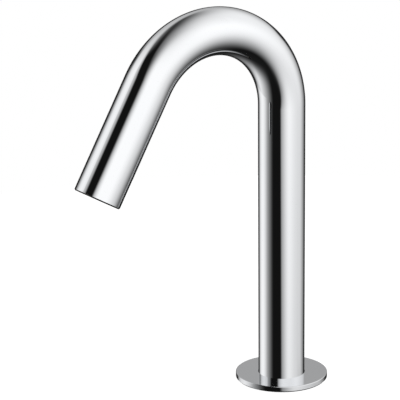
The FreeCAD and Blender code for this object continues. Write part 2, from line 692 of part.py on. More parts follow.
# ------------------------------------------------------------------ outlet body
def outlet_body():
    """The moulding that fills the tube's tip: cartridge thread, waterway, sensor pocket and ring grooves."""
    body = turned(
        [
            (0, OUTLET_RECESS),
            (OUTLET_RADIUS - OUTLET_CHAMFER, OUTLET_RECESS),
            (OUTLET_RADIUS, OUTLET_RECESS + OUTLET_CHAMFER),
            (OUTLET_RADIUS, OUTLET_TOP),
            (0, OUTLET_TOP),
        ]
    )
    chamber_radius, chamber_height = WATERWAY_CHAMBER
    stub_radius = NIPPLE_STUB_DIAMETER / 2 + CLOSE_FIT
    chamber_top = AERATOR_SEAT + chamber_height
    stub_foot = OUTLET_TOP - NIPPLE_STUB_LENGTH - SLIP_FIT
    waterway = turned(
        [
            (0, OUTLET_RECESS),
            (AERATOR_BORE_RADIUS, OUTLET_RECESS),
            (AERATOR_BORE_RADIUS, AERATOR_SEAT),
            (chamber_radius, AERATOR_SEAT),
            (chamber_radius, chamber_top),
            (WATERWAY_RADIUS, chamber_top + WATERWAY_TAPER),
            (WATERWAY_RADIUS, stub_foot),
            (stub_radius, stub_foot),
            (stub_radius, OUTLET_TOP),
            (0, OUTLET_TOP),
        ],
        0,
        AERATOR_Y,
    )
    aperture_width = POCKET_WIDTH - 2 * APERTURE_MARGIN
    aperture_depth = POCKET_DEPTH - 2 * APERTURE_MARGIN
    cuts = [
        waterway,
        obround(POCKET_WIDTH, POCKET_DEPTH, OUTLET_RECESS, APERTURE_FOOT, SENSOR_Y),
        obround(aperture_width, aperture_depth, APERTURE_FOOT, CASE_FOOT, SENSOR_Y),
        obround(POCKET_WIDTH, POCKET_DEPTH, CASE_FOOT, OUTLET_TOP, SENSOR_Y),
        Part.makeCylinder(
            GRUB_DIAMETER / 2 + CLOSE_FIT,
            GRUB_BITE + SLIP_FIT,
            Vector(0, OUTLET_RADIUS - GRUB_BITE - SLIP_FIT, GRUB_HEIGHT),
            Vector(0, 1, 0),
        ),
    ]
    for height in OUTLET_RING_HEIGHTS:
        low = height - OUTLET_RING_GROOVE / 2
        cuts.append(ring(TUBE_BORE_RADIUS, TUBE_BORE_RADIUS - OUTLET_RING_SECTION, low, low + OUTLET_RING_GROOVE))
    for cut in cuts:
        body = body.cut(cut)
    return at_tip(body)


def outlet_o_rings():
    """The two rings that hold the outlet body snugly in the tube."""
    middle = TUBE_BORE_RADIUS - OUTLET_RING_SECTION / 2
    section = OUTLET_RING_SECTION - 2 * CLOSE_FIT
    return at_tip(Part.makeCompound([soft_ring(middle, section, height) for height in OUTLET_RING_HEIGHTS]))


def outlet_grub_screw():
    """The grub screw that stands in the tube's hole and keeps the outlet body from sliding out."""
    inner = OUTLET_RADIUS - GRUB_BITE
    outer = TUBE_RADIUS - SLIP_FIT
    along = Vector(0, 1, 0)
    screw = Part.makeCylinder(GRUB_DIAMETER / 2, outer - inner, Vector(0, inner, GRUB_HEIGHT), along)
    ends = [edge for edge in screw.Edges if is_circle(edge, GRUB_DIAMETER / 2)]
    screw = screw.makeChamfer(GRUB_DIAMETER / 12, ends)
    socket = hexagon(GRUB_SOCKET_WIDTH, 0, GRUB_SOCKET_DEPTH)
    socket.Placement = Placement(Vector(0, outer, GRUB_HEIGHT), Rotation(Vector(1, 0, 0), 90))
    return at_tip(screw.cut(socket))


# ------------------------------------------------------------------ aerator cartridge
def aerator_housing():
    """The cartridge's threaded shell, with key notches in its face and a lip that keeps the grid in."""
    shell = turned(
        [
            (AERATOR_INNER_RADIUS - AERATOR_LIP, AERATOR_FACE),
            (AERATOR_RADIUS, AERATOR_FACE),
            (AERATOR_RADIUS, AERATOR_TOP),
            (AERATOR_INNER_RADIUS, AERATOR_TOP),
            (AERATOR_INNER_RADIUS, AERATOR_FACE + AERATOR_LIP_HEIGHT),
            (AERATOR_INNER_RADIUS - AERATOR_LIP, AERATOR_FACE + AERATOR_LIP_HEIGHT),
        ],
        0,
        AERATOR_Y,
    )
    for notch in range(KEY_NOTCHES):
        slot = Part.makeBox(
            AERATOR_WALL,
            KEY_NOTCH_WIDTH,
            KEY_NOTCH_DEPTH,
            Vector(AERATOR_RADIUS - AERATOR_WALL / 2, -KEY_NOTCH_WIDTH / 2, AERATOR_FACE),
        )
        slot.rotate(Vector(0, 0, 0), Vector(0, 0, 1), 45 + 360 * notch / KEY_NOTCHES)
        slot.translate(Vector(0, AERATOR_Y, 0))
        shell = shell.cut(slot)
    return at_tip(shell)


def aerator_grid():
    """The honeycomb that straightens the stream, on the housing's lip."""
    low = AERATOR_FACE + AERATOR_LIP_HEIGHT
    high = low + GRID_HEIGHT
    grid = cylinder(AERATOR_INNER_RADIUS - CLOSE_FIT, low, high)
    reach = AERATOR_INNER_RADIUS - AERATOR_LIP - GRID_CELL / 2
    cells = [hexagon(GRID_CELL, low, high, x, y, 30) for x, y in honeycomb(reach, GRID_CELL + GRID_WEB)]
    grid = grid.cut(Part.makeCompound(cells))
    grid.translate(Vector(0, AERATOR_Y, 0))
    return at_tip(grid)


def aerator_screen():
    """The perforated steel screen on top of the grid."""
    low = AERATOR_FACE + AERATOR_LIP_HEIGHT + GRID_HEIGHT
    high = low + SCREEN_HEIGHT
    screen = cylinder(AERATOR_INNER_RADIUS - CLOSE_FIT, low, high)
    reach = AERATOR_INNER_RADIUS - AERATOR_LIP - SCREEN_HOLE / 2
    holes = [hexagon(SCREEN_HOLE, low, high, x, y) for x, y in honeycomb(reach, SCREEN_PITCH)]
    screen = screen.cut(Part.makeCompound(holes))
    screen.translate(Vector(0, AERATOR_Y, 0))
    return at_tip(screen)


def regulator_foot():
    """Height of the flow regulator's lower face."""
    return AERATOR_TOP - REGULATOR_HEIGHT


def flow_regulator():
    """The disc that holds the flow constant: a ring of ports, and a groove for its elastic ring."""
    low = regulator_foot()
    inner, outer, depth = REGULATOR_GROOVE
    disc = cylinder(AERATOR_INNER_RADIUS - CLOSE_FIT, low, AERATOR_TOP)
    cuts = [ring(outer, inner, AERATOR_TOP - depth, AERATOR_TOP)]
    for port in range(REGULATOR_PORTS):
        angle = 2 * math.pi * port / REGULATOR_PORTS
        x = REGULATOR_PORT_CIRCLE / 2 * math.cos(angle)
        y = REGULATOR_PORT_CIRCLE / 2 * math.sin(angle)
        cuts.append(hexagon(REGULATOR_PORT_WIDTH, low, AERATOR_TOP, x, y))
    disc = disc.cut(Part.makeCompound(cuts))
    spacer_low = AERATOR_FACE + AERATOR_LIP_HEIGHT + GRID_HEIGHT + SCREEN_HEIGHT
    spacer = ring(AERATOR_INNER_RADIUS - CLOSE_FIT, AERATOR_INNER_RADIUS - AERATOR_LIP, spacer_low, low)
    disc = disc.fuse(spacer).removeSplitter()
    disc.translate(Vector(0, AERATOR_Y, 0))
    return at_tip(disc)


def regulator_o_ring():
    """The elastic ring in the regulator's groove, which flattens as the pressure rises."""
    inner, outer, depth = REGULATOR_GROOVE
    section = depth - 3 * CLOSE_FIT
    return at_tip(soft_ring((inner + outer) / 2, section, AERATOR_TOP - depth / 2, 0, AERATOR_Y))


def aerator_gasket():
    """The flat washer between the cartridge and its seat in the outlet body."""
    outer = AERATOR_RADIUS - CLOSE_FIT
    return at_tip(ring(outer, outer - AERATOR_GASKET_WIDTH, AERATOR_TOP, AERATOR_SEAT, 0, AERATOR_Y))


# ------------------------------------------------------------------ infra-red sensor
def sensor_window():
    """The dark window that the infra-red light passes through, with its outer edge broken."""
    width = POCKET_WIDTH - 2 * CLOSE_FIT
    depth = POCKET_DEPTH - 2 * CLOSE_FIT
    window = obround(width, depth, WINDOW_FACE, SEAL_FOOT, SENSOR_Y)
    face_edges = [edge for edge in window.Edges if abs(edge.CenterOfMass.z - WINDOW_FACE) < 1e-6]
    return at_tip(window.makeChamfer(CLOSE_FIT * 3, face_edges))


def sensor_window_seal():
    """The thin seal between the window and its ledge."""
    outer = obround(POCKET_WIDTH - 2 * CLOSE_FIT, POCKET_DEPTH - 2 * CLOSE_FIT, SEAL_FOOT, APERTURE_FOOT, SENSOR_Y)
    inner_width = POCKET_WIDTH - 2 * APERTURE_MARGIN
    inner_depth = POCKET_DEPTH - 2 * APERTURE_MARGIN
    return at_tip(outer.cut(obround(inner_width, inner_depth, SEAL_FOOT, APERTURE_FOOT, SENSOR_Y)))


def eye_places():
    """Sideways places of the emitter and the receiver."""
    return (-EYE_SPACING / 2, EYE_SPACING / 2)


def sensor_case():
    """The sensor's tub: two holes for its eyes in the floor, and a rib that keeps their light apart."""
    width = POCKET_WIDTH - 2 * SLIP_FIT
    depth = POCKET_DEPTH - 2 * SLIP_FIT
    case = obround(width, depth, CASE_FOOT, CASE_TOP, SENSOR_Y)
    case = case.cut(obround(width - 2 * CASE_WALL, depth - 2 * CASE_WALL, EYE_SEAT, CASE_TOP, SENSOR_Y))
    rib = Part.makeBox(
        LIGHT_BARRIER,
        depth - CASE_WALL,
        LIGHT_BARRIER_HEIGHT,
        Vector(-LIGHT_BARRIER / 2, SENSOR_Y - (depth - CASE_WALL) / 2, EYE_SEAT),
    )
    case = case.fuse(rib).removeSplitter()
    for x in eye_places():
        case = case.cut(cylinder(EYE_DIAMETER / 2 + CLOSE_FIT, CASE_FOOT, EYE_SEAT, x, SENSOR_Y))
    return at_tip(case)


def sensor_eye(x):
    """A round infra-red diode: a domed nose through the case's floor, a rim on it and two legs."""
    radius = EYE_DIAMETER / 2
    rim_top = EYE_SEAT + EYE_RIM_HEIGHT
    dome_centre = Vector(x, SENSOR_Y, CASE_FOOT + CASE_FLOOR / 2)
    eye = Part.makeSphere(radius, dome_centre, Vector(0, 0, 1), -90, 0, 360)
    eye = eye.fuse(cylinder(radius, dome_centre.z, rim_top, x, SENSOR_Y))
    eye = eye.fuse(cylinder(radius + EYE_RIM, EYE_SEAT, rim_top, x, SENSOR_Y))
    leg_y = SENSOR_Y + BOARD_SIZE[1] / 2 + CLOSE_FIT
    for side in (-1, 1):
        corner = Vector(x + side * EYE_LEG_SPACING / 2 - EYE_LEG_WIDTH / 2, leg_y, rim_top)
        eye = eye.fuse(Part.makeBox(EYE_LEG_WIDTH, EYE_LEG_WIDTH, EYE_LEG_LENGTH, corner))
    return at_tip(eye.removeSplitter())


def ir_emitter():
    """The diode that sends the light."""
    return sensor_eye(eye_places()[0])


def ir_receiver():
    """The diode that sees the light come back from a hand."""
    return sensor_eye(eye_places()[1])


def sensor_board():
    """The circuit board that stands in the case."""
    width, thickness, height = BOARD_SIZE
    corner = Vector(-width / 2, SENSOR_Y - thickness / 2, BOARD_TOP - height)
    return at_tip(Part.makeBox(width, thickness, height, corner))


def sensor_chip():
    """The sensor's integrated circuit, on the board's front."""
    width, thickness, height = CHIP_SIZE
    low = BOARD_TOP - BOARD_SIZE[2] + CHIP_HEIGHT
    corner = Vector(-width / 2, SENSOR_Y - BOARD_SIZE[1] / 2 - thickness, low)
    return at_tip(Part.makeBox(width, thickness, height, corner))


def sensor_back_cap():
    """The cap that closes the case round the lead."""
    lid = obround(POCKET_WIDTH - 2 * SLIP_FIT, POCKET_DEPTH - 2 * SLIP_FIT, CASE_TOP, CAP_TOP, SENSOR_Y)
    plug_width = POCKET_WIDTH - 2 * CASE_WALL - 4 * SLIP_FIT
    plug_depth = POCKET_DEPTH - 2 * CASE_WALL - 4 * SLIP_FIT
    plug = obround(plug_width, plug_depth, CASE_TOP - CAP_PLUG_HEIGHT, CASE_TOP, SENSOR_Y)
    hole = cylinder(LEAD_DIAMETER / 2 + CLOSE_FIT, CASE_TOP - CAP_PLUG_HEIGHT, CAP_TOP, 0, SENSOR_Y)
    return at_tip(lid.fuse(plug).removeSplitter().cut(hole))


def sensor_lead_boot():
    """The rubber boot that keeps the lead from bending sharply where it leaves the cap."""
    inner = LEAD_DIAMETER / 2 + CLOSE_FIT / 2
    wide, narrow = BOOT_WALLS
    top = CAP_TOP + BOOT_LENGTH
    return at_tip(
        turned([(inner, CAP_TOP), (inner + wide, CAP_TOP), (inner + narrow, top), (inner, top)], 0, SENSOR_Y)
    )


PIECES = (
    spout_tube,
    base_flange,
    flange_gasket,
    threaded_shank,
    deck_rubber_washer,
    deck_steel_washer,
    lock_nut,
    shank_end_plug,
    end_plug_circlip,
    inlet_stem,
    stem_retaining_clip,
    lead_socket,
    lower_hose_ferrule,
    water_hose,
    upper_hose_ferrule,
    hose_nipple,
    nipple_o_ring,
    sensor_lead,
    outlet_body,
    outlet_o_rings,
    outlet_grub_screw,
    aerator_housing,
    aerator_gasket,
    aerator_grid,
    aerator_screen,
    flow_regulator,
    regulator_o_ring,
    sensor_window,
    sensor_window_seal,
    sensor_case,
    ir_emitter,
    ir_receiver,
    sensor_board,
    sensor_chip,
    sensor_back_cap,
    sensor_lead_boot,
)


def main():
    """Builds every piece and writes each one to its own file."""
    os.makedirs("parts", exist_ok=True)
    for piece in PIECES:
        shape = piece()
        shape.exportStep(os.path.join("parts", piece.__name__ + ".step"))
        print(f"{piece.__name__}: {len(shape.Solids)} solid(s), {shape.Volume:.1f} mm3, valid {shape.isValid()}")


main()
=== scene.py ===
"""Looks of a deck-mounted gooseneck sensor tap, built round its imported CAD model.

The spout, the flange and every other turned piece are made here again, smooth where the CAD has flats, and so
are the threads, the notched cartridge and its woven screen. The pieces that the CAD draws exactly keep its
mesh and get a finish. Lengths in the classes are millimetres, in the CAD's frame.
"""

import json
import logging
import math
from collections.abc import Callable, Iterable, Sequence
from dataclasses import dataclass, field, replace
from enum import Enum, IntEnum

import bmesh
import bpy
from mathutils import Matrix, Vector

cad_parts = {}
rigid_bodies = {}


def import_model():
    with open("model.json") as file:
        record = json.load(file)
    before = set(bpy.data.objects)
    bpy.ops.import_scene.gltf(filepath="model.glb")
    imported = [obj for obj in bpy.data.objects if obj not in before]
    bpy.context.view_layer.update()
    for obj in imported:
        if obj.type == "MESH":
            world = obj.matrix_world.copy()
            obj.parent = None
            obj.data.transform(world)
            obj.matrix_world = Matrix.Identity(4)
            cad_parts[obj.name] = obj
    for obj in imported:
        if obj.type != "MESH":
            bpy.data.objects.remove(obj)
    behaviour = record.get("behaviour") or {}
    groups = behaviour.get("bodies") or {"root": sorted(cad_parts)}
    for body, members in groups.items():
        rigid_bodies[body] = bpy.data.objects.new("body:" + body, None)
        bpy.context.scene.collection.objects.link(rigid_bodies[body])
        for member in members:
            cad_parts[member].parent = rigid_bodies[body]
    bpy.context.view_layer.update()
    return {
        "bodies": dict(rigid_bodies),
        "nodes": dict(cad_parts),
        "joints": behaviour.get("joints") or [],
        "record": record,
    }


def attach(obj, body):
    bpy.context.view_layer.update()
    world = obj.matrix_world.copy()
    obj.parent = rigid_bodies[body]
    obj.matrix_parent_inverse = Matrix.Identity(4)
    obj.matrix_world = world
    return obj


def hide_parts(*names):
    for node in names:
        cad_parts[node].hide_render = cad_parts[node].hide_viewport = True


log = logging.getLogger("sensor_tap")

MM = 0.001
TAU = 2 * math.pi
SEAM = 0.0005  # points nearer than this, in millimetres, are one point
SIDEWAYS = Matrix.Rotation(-TAU / 4, 4, "X")  # turns +Z to +Y

Piece = bpy.types.Object
Colour = tuple[float, float, float]
Point = tuple[float, float, float]
Corner = tuple[float, float]


# ------------------------------------------------------------------ node trees written as expressions
def arithmetic(operation: str, swapped: bool = False) -> Callable[["Wire", "Wire | float"], "Wire"]:
    """Makes a method of Wire that a Math node does.

    Args:
        operation: The node's operation.
        swapped: Whether the wire is the node's second value.

    Returns:
        The method.
    """

    def act(wire: "Wire", other: "Wire | float") -> "Wire":
        """The node's result."""
        return wire.sheet.maths(operation, *((other, wire) if swapped else (wire, other)))

    return act


class Wire:
    """An output socket that ordinary arithmetic can be done on."""

    __add__, __radd__ = arithmetic("ADD"), arithmetic("ADD", swapped=True)
    __sub__, __rsub__ = arithmetic("SUBTRACT"), arithmetic("SUBTRACT", swapped=True)
    __mul__, __rmul__ = arithmetic("MULTIPLY"), arithmetic("MULTIPLY", swapped=True)
    __truediv__ = arithmetic("DIVIDE")
    __lt__, __gt__ = arithmetic("LESS_THAN"), arithmetic("GREATER_THAN")

    def __init__(self, sheet: "Sheet", socket: bpy.types.NodeSocket) -> None:
        """Keeps the socket and the tree that it belongs to."""
        self.sheet = sheet
        self.socket = socket

    def __abs__(self) -> "Wire":
        """This without its sign."""
        return self.maths("ABSOLUTE")

    def maths(self, operation: str, *others: "Wire | float") -> "Wire":
        """The result of a Math node whose first value is this wire."""
        return self.sheet.maths(operation, self, *others)

    def sine(self) -> "Wire":
        """The sine of this angle."""
        return self.maths("SINE")

    def cosine(self) -> "Wire":
        """The cosine of this angle."""
        return self.maths("COSINE")

    def between(self, low: "Wire | float", high: "Wire | float") -> "Wire":
        """This, kept between two values."""
        return self.maths("MAXIMUM", low).maths("MINIMUM", high)

    def rise(self, low: float, high: float) -> "Wire":
        """A smooth step from 0 at low to 1 at high."""
        values = {"Value": self, "From Min": low, "From Max": high}
        return self.sheet.add("ShaderNodeMapRange", values, interpolation_type="SMOOTHSTEP")


class Sheet:
    """A node tree that is written out as expressions on wires."""

    def __init__(self, tree: bpy.types.NodeTree) -> None:
        """Takes a tree and empties it."""
        self.tree = tree
        tree.nodes.clear()

    def add(
        self,
        kind: str,
        values: dict[str | int, object] | None = None,
        output: str | int = 0,
        **settings: object,
    ) -> Wire:
        """Adds one node.

        Args:
            kind: The node's type.
            values: What goes into its input sockets, by name, identifier or number.
            output: The output socket that is wanted, by name, identifier or number.
            settings: The node's own settings, which are set first.

        Returns:
            That output as a wire.
        """
        node = self.tree.nodes.new(kind)
        for name, setting in settings.items():
            setattr(node, name, setting)
        for key, value in (values or {}).items():
            self.plug(self.socket_of(node.inputs, key), value)
        return Wire(self, self.socket_of(node.outputs, output))

    def plug(self, socket: bpy.types.NodeSocket, value: object) -> None:
        """Fills an input socket.

        Args:
            socket: The input socket.
            value: A wire or a list of wires to link, or the socket's own value. A colour comes without alpha.
        """
        if isinstance(value, (Wire, list)):
            for wire in value if isinstance(value, list) else [value]:
                self.tree.links.new(wire.socket, socket)
        else:
            socket.default_value = (*value, 1.0) if socket.type == "RGBA" else value

    def end(self, kind: str, source: Wire) -> None:
        """Adds the node that takes the tree's result."""
        self.plug(self.tree.nodes.new(kind).inputs[0], source)

    @staticmethod
    def socket_of(sockets: bpy.types.bpy_prop_collection, key: str | int) -> bpy.types.NodeSocket:
        """Finds a socket of a node.

        Args:
            sockets: The node's inputs or outputs.
            key: The socket's number, identifier or name.

        Returns:
            The socket.
        """
        if isinstance(key, int):
            return sockets[key]
        named = [socket for socket in sockets if socket.identifier == key]
        return named[0] if named else sockets[key]

    def maths(self, operation: str, *values: Wire | float) -> Wire:
        """The result of a Math node."""
        return self.add("ShaderNodeMath", dict(enumerate(values)), operation=operation)

    def vectors(self, operation: str, *values: Wire | Sequence[float], output: str = "Vector") -> Wire:
        """What a Vector Math node gives: its vector, or the number if output is "Value"."""
        return self.add("ShaderNodeVectorMath", dict(enumerate(values)), output, operation=operation)

    def along(self, vector: Wire, direction: Sequence[float]) -> Wire:
        """How far a vector reaches in a direction."""
        return self.vectors("DOT_PRODUCT", vector, tuple(direction), output="Value")

    def vector(self, *parts: Wire | float) -> Wire:
        """A vector from its three parts."""
        return self.add("ShaderNodeCombineXYZ", dict(enumerate(parts)))

    def part(self, vector: Wire, axis: str) -> Wire:
        """The X, Y or Z part of a vector."""
        return self.add("ShaderNodeSeparateXYZ", {0: vector}, axis)

    def blend(self, share: Wire | float, one: Wire | Colour, other: Wire | Colour) -> Wire:
        """A colour between two, the first at 0 and the other at 1."""
        values = {"Factor_Float": share, "A_Color": one, "B_Color": other}
        return self.add("ShaderNodeMix", values, "Result_Color", data_type="RGBA")


class Surface(Sheet):
    """A material's nodes: one Principled shader and what feeds it."""

    seed_step = (0.31, 0.17, 0.23)

    def __init__(self, name: str) -> None:
        """Makes the material, with nothing on its shader yet.

        Args:
            name: The material's name.
        """
        self.material = bpy.data.materials.new(name)
        self.material.use_nodes = True
        super().__init__(self.material.node_tree)
        self.shader = self.tree.nodes.new("ShaderNodeBsdfPrincipled")
        self.end("ShaderNodeOutputMaterial", Wire(self, self.shader.outputs[0]))
        self.place = self.add("ShaderNodeTexCoord", output="Object")

    def set(self, **values: object) -> None:
        """Sets the shader's sockets, named with underscores for spaces."""
        for name, value in values.items():
            self.plug(self.shader.inputs[name.replace("_", " ")], value)

    def noise(
        self, size: float, detail: float = 2.0, stretch: Point | None = None, seed: float = 0.0
    ) -> Wire:
        """Soft noise from 0 to 1.

        Args:
            size: The size of its lumps in millimetres.
            detail: How many finer layers it has.
            stretch: How many times longer its lumps are along each axis.
            seed: Picks another part of the pattern.

        Returns:
            The noise.
        """
        place = self.place
        if seed:
            place = self.vectors("ADD", place, tuple(step * seed for step in self.seed_step))
        if stretch is not None:
            place = self.vectors("MULTIPLY", place, tuple(1 / s for s in stretch))
        return self.add("ShaderNodeTexNoise", {"Vector": place, "Scale": 1 / (size * MM), "Detail": detail})

    def bump(self, height: Wire, depth: float) -> None:
        """Gives the surface relief of a depth in millimetres where height goes from 0 to 1."""
        values = {"Strength": 1.0, "Distance": depth * MM, "Height": height}
        self.set(Normal=self.add("ShaderNodeBump", values))

    def round_axis(self, axis: Vector, centre: Point) -> tuple[Wire, Wire]:
        """Each place's height along an axis and its distance from it.

        Args:
            axis: The axis's unit vector.
            centre: The point on it where the height is 0, in millimetres.

        Returns:
            The height and the distance, in metres.
        """
        place = self.vectors("SUBTRACT", self.place, tuple(c * MM for c in centre))
        height = self.along(place, axis)
        foot = self.add("ShaderNodeVectorMath", {0: tuple(axis), "Scale": height}, operation="SCALE")
        return height, self.vectors("LENGTH", self.vectors("SUBTRACT", place, foot), output="Value")


class Pattern(Sheet):
    """A geometry node tree that grows what repeats or follows a rule."""

    def __init__(self, name: str) -> None:
        """Makes the tree, with the mesh that it is given as its first input.

        Args:
            name: The tree's name.
        """
        super().__init__(bpy.data.node_groups.new(name, "GeometryNodeTree"))
        self.tree.is_modifier = True
        self.tree.interface.new_socket("Geometry", in_out="OUTPUT", socket_type="NodeSocketGeometry")
        self.entry = self.tree.nodes.new("NodeGroupInput")
        self.keys: dict[str, str] = {}
        self.given = self.size("Geometry", "Geometry")

    def size(self, name: str, kind: str = "Float") -> Wire:
        """Adds a named input.

        Args:
            name: The input's name.
            kind: The kind of its value, such as Float for a length in metres or Int for a count.

        Returns:
            The input's value.
        """
        socket = self.tree.interface.new_socket(name, in_out="INPUT", socket_type="NodeSocket" + kind)
        self.keys[name] = socket.identifier
        return Wire(self, self.socket_of(self.entry.outputs, socket.identifier))

    def finish(self, geometry: Wire) -> None:
        """Ends the tree: instances made real, the finish set, and sent out.

        Args:
            geometry: What the tree has made.
        """
        finish = self.size("Finish", "Material")
        real = self.add("GeometryNodeRealizeInstances", {"Geometry": geometry})
        dressed = self.add("GeometryNodeSetMaterial", {"Geometry": real, "Material": finish})
        self.end("NodeGroupOutput", dressed)

    def grow(self, name: str, start: Piece, **values: object) -> Piece:
        """Runs the tree once.

        Args:
            name: The new piece's name.
            start: The object that the tree is given. It is used up.
            values: The tree's named inputs.

        Returns:
            A plain mesh object.
        """
        modifier = start.modifiers.new("grow", "NODES")
        modifier.node_group = self.tree
        for key, value in values.items():
            modifier[self.keys[key]] = value
        mesh = worked_mesh(start)
        bpy.data.objects.remove(start)
        return new_object(name, mesh)


# ------------------------------------------------------------------ meshes
def worked_mesh(piece: Piece) -> bpy.types.Mesh:
    """A mesh of what a piece's modifiers make of it."""
    bpy.context.view_layer.update()
    return bpy.data.meshes.new_from_object(piece.evaluated_get(bpy.context.evaluated_depsgraph_get()))


def new_object(name: str, mesh: bpy.types.Mesh) -> Piece:
    """Puts a mesh into the scene.

    Args:
        name: The new object's name.
        mesh: Its mesh.

    Returns:
        The object.
    """
    piece = bpy.data.objects.new(name, mesh)
    bpy.context.scene.collection.objects.link(piece)
    return piece


class Sides(IntEnum):
    """How many sides a circle has, by what it goes round."""

    CORD = 16
    SCREW = 32
    SMALL = 64
    SEAL = 72
    PLAIN = 96
    BAR = 128
    WIDE = 144
    TUBE = 192
    FLANGE = 256


class Ends(Enum):
    """What becomes of the first and the last row of a skin."""

    JOINED = "joined"
    OPEN = "open"
    CAPPED = "capped"


@dataclass(frozen=True)
class Spot:
    """One direction round an axis, and whether it lies in a notch."""

    angle: float
    notched: bool = False


Measure = float | Callable[[Spot], float]  # a radius or a height, the same all round or by direction
Row = tuple[Measure, Measure]
ThreadRadius = Callable[[float, float], float]  # by the height and by the depth of the thread's form


def round_spots(count: int) -> list[Spot]:
    """Evenly spaced directions round an axis."""
    return [Spot(TAU * step / count) for step in range(count)]


def notched_spots(count: int, notches: int, first: float, half_width: float) -> list[Spot]:
    """Directions round an axis, with two at the same angle at each side of each notch.

    Args:
        count: How many evenly spaced directions there are.
        notches: How many notches, evenly spaced.
        first: The first notch's middle, in radians.
        half_width: Half a notch's width, in radians.

    Returns:
        The directions in order.
    """
    middles = [first + TAU * notch / notches for notch in range(notches)]
    too_near = 0.2 * TAU / count
    spots = []
    for spot in round_spots(count):
        off = min(abs((spot.angle - middle + math.pi) % TAU - math.pi) for middle in middles)
        if abs(off - half_width) > too_near:
            spots.append(Spot(spot.angle, off < half_width))
    starts = {(middle - half_width) % TAU for middle in middles}
    ends = {(middle + half_width) % TAU for middle in middles}
    spots += [Spot(angle, notched) for angle in starts | ends for notched in (False, True)]
    return sorted(spots, key=lambda spot: (spot.angle, spot.notched != (spot.angle in ends)))


def polar(radius: float, angle: float, height: float) -> Point:
    """The point at a radius, an angle and a height."""
    return radius * math.cos(angle), radius * math.sin(angle), height


def ramp(value: float, start: float, length: float) -> float:
    """How far a value is on its way up from a start, from 0 to 1."""
    return min(max((value - start) / length, 0.0), 1.0)


def skin(name: str, rows: Sequence[Sequence[Point]], ends: Ends, step_up: int = 0) -> Piece:
    """A surface laid over rows of points that go round, given in millimetres.

    Args:
        name: The object's name.
        rows: Each row's points. Seen from outside they go to the right, and the rows go up.
        ends: What becomes of the first and the last row.
        step_up: How many rows higher a row goes on after one turn, as on a screw.

    Returns:
        The object.
    """
    points = [tuple(c * MM for c in point) for row in rows for point in row]
    count = len(rows[0])
    faces = []
    for low in range(len(rows) if ends is Ends.JOINED else len(rows) - 1):
        high = (low + 1) % len(rows)
        for step in range(count):
            after, rise = (step + 1, 0) if step + 1 < count else (0, step_up)
            if high + rise < len(rows):
                right_low, right_high = (low + rise) * count + after, (high + rise) * count + after
                faces.append((low * count + step, right_low, right_high, high * count + step))
    if ends is Ends.CAPPED:
        faces += [tuple(reversed(range(count))), tuple(range(len(points) - count, len(points)))]
    mesh = bpy.data.meshes.new(name)
    mesh.from_pydata(points, [], faces)
    return new_object(name, mesh)


def shell(name: str, rows: Sequence[Row], spots: Sequence[Spot], ends: Ends = Ends.JOINED) -> Piece:
    """A surface laid round the Z axis.

    Args:
        name: The object's name.
        rows: (radius, height) of each row. Seen in the half plane with the axis on the left, they go round
            the material anticlockwise.
        spots: The directions that each row has a point in.
        ends: What becomes of the first and the last row.

    Returns:
        The object, with its faces outwards.
    """

    def at(measure: Measure, spot: Spot) -> float:
        """A radius or a height in one direction."""
        return measure(spot) if callable(measure) else measure

    rings = [[polar(at(r, spot), spot.angle, at(z, spot)) for spot in spots] for r, z in rows]
    return skin(name, rings, ends)


def turned(name: str, profile: Sequence[Row], sides: Sides = Sides.PLAIN) -> Piece:
    """A closed profile turned round the Z axis."""
    return joined(shell(name, profile, round_spots(sides)))


def stack(name: str, outlines: Sequence[Sequence[Corner]], heights: Sequence[float]) -> Piece:
    """A closed upright piece over outlines that go anticlockwise, each at its height."""
    rows = [[(x, y, height) for x, y in outline] for outline, height in zip(outlines, heights)]
    return skin(name, rows, Ends.CAPPED)


def band(inner: float, outer: float, low: float, high: float) -> list[Corner]:
    """The profile of a plain ring, or of a bar where inner is 0."""
    return [(inner, low), (outer, low), (outer, high), (inner, high)]


def obround(width: float, depth: float, y: float) -> list[Corner]:
    """The outline of a slot with round ends, centred on x = 0.

    Args:
        width: Its size along X.
        depth: Its size along Y, which is its ends' diameter.
        y: Where its middle lies along Y.

    Returns:
        Its points, anticlockwise.
    """
    radius, steps = depth / 2, 24
    outline = []
    for side, start in ((1, -90), (-1, 90)):
        for step in range(steps + 1):
            x, off, _ = polar(radius, math.radians(start + 180 * step / steps), 0.0)
            outline.append((side * (width / 2 - radius) + x, y + off))
    return outline


def eased(corners: Sequence[Corner], size: float, steps: int = 3) -> list[Corner]:
    """A closed profile with its corners rounded, but for those on the axis.

    Args:
        corners: The profile's (radius, height) corners.
        size: How far from a corner its rounding starts. Short sides get less.
        steps: How many sides each rounding has.

    Returns:
        The profile's new points.
    """
    most = 0.4
    profile = []
    for index, corner in enumerate(corners):
        here = Vector(corner)
        before, after = Vector(corners[index - 1]) - here, Vector(corners[(index + 1) % len(corners)]) - here
        reach = min(size, most * before.length, most * after.length)
        if here.x < SEAM or reach < SEAM:
            profile.append(corner)
            continue
        start, end = here + before.normalized() * reach, here + after.normalized() * reach
        for step in range(steps + 1):
            t = step / steps
            profile.append(tuple(start * (1 - t) ** 2 + here * (2 * t * (1 - t)) + end * t**2))
    return profile


def joined(piece: Piece, others: Iterable[Piece] = ()) -> Piece:
    """Joins objects into the first, and closes the seams where their points meet.

    Args:
        piece: The first object, which is changed.
        others: The rest, which are used up.

    Returns:
        The first object.
    """
    work = bmesh.new()
    work.from_mesh(piece.data)
    for other in others:
        work.from_mesh(other.data)
        bpy.data.objects.remove(other)
    bmesh.ops.remove_doubles(work, verts=work.verts, dist=SEAM * MM)
    bmesh.ops.dissolve_degenerate(work, edges=work.edges, dist=SEAM * MM)
    work.to_mesh(piece.data)
    work.free()
    return piece


def flipped(piece: Piece) -> Piece:
    """Turns a surface inside out."""
    piece.data.flip_normals()
    return piece


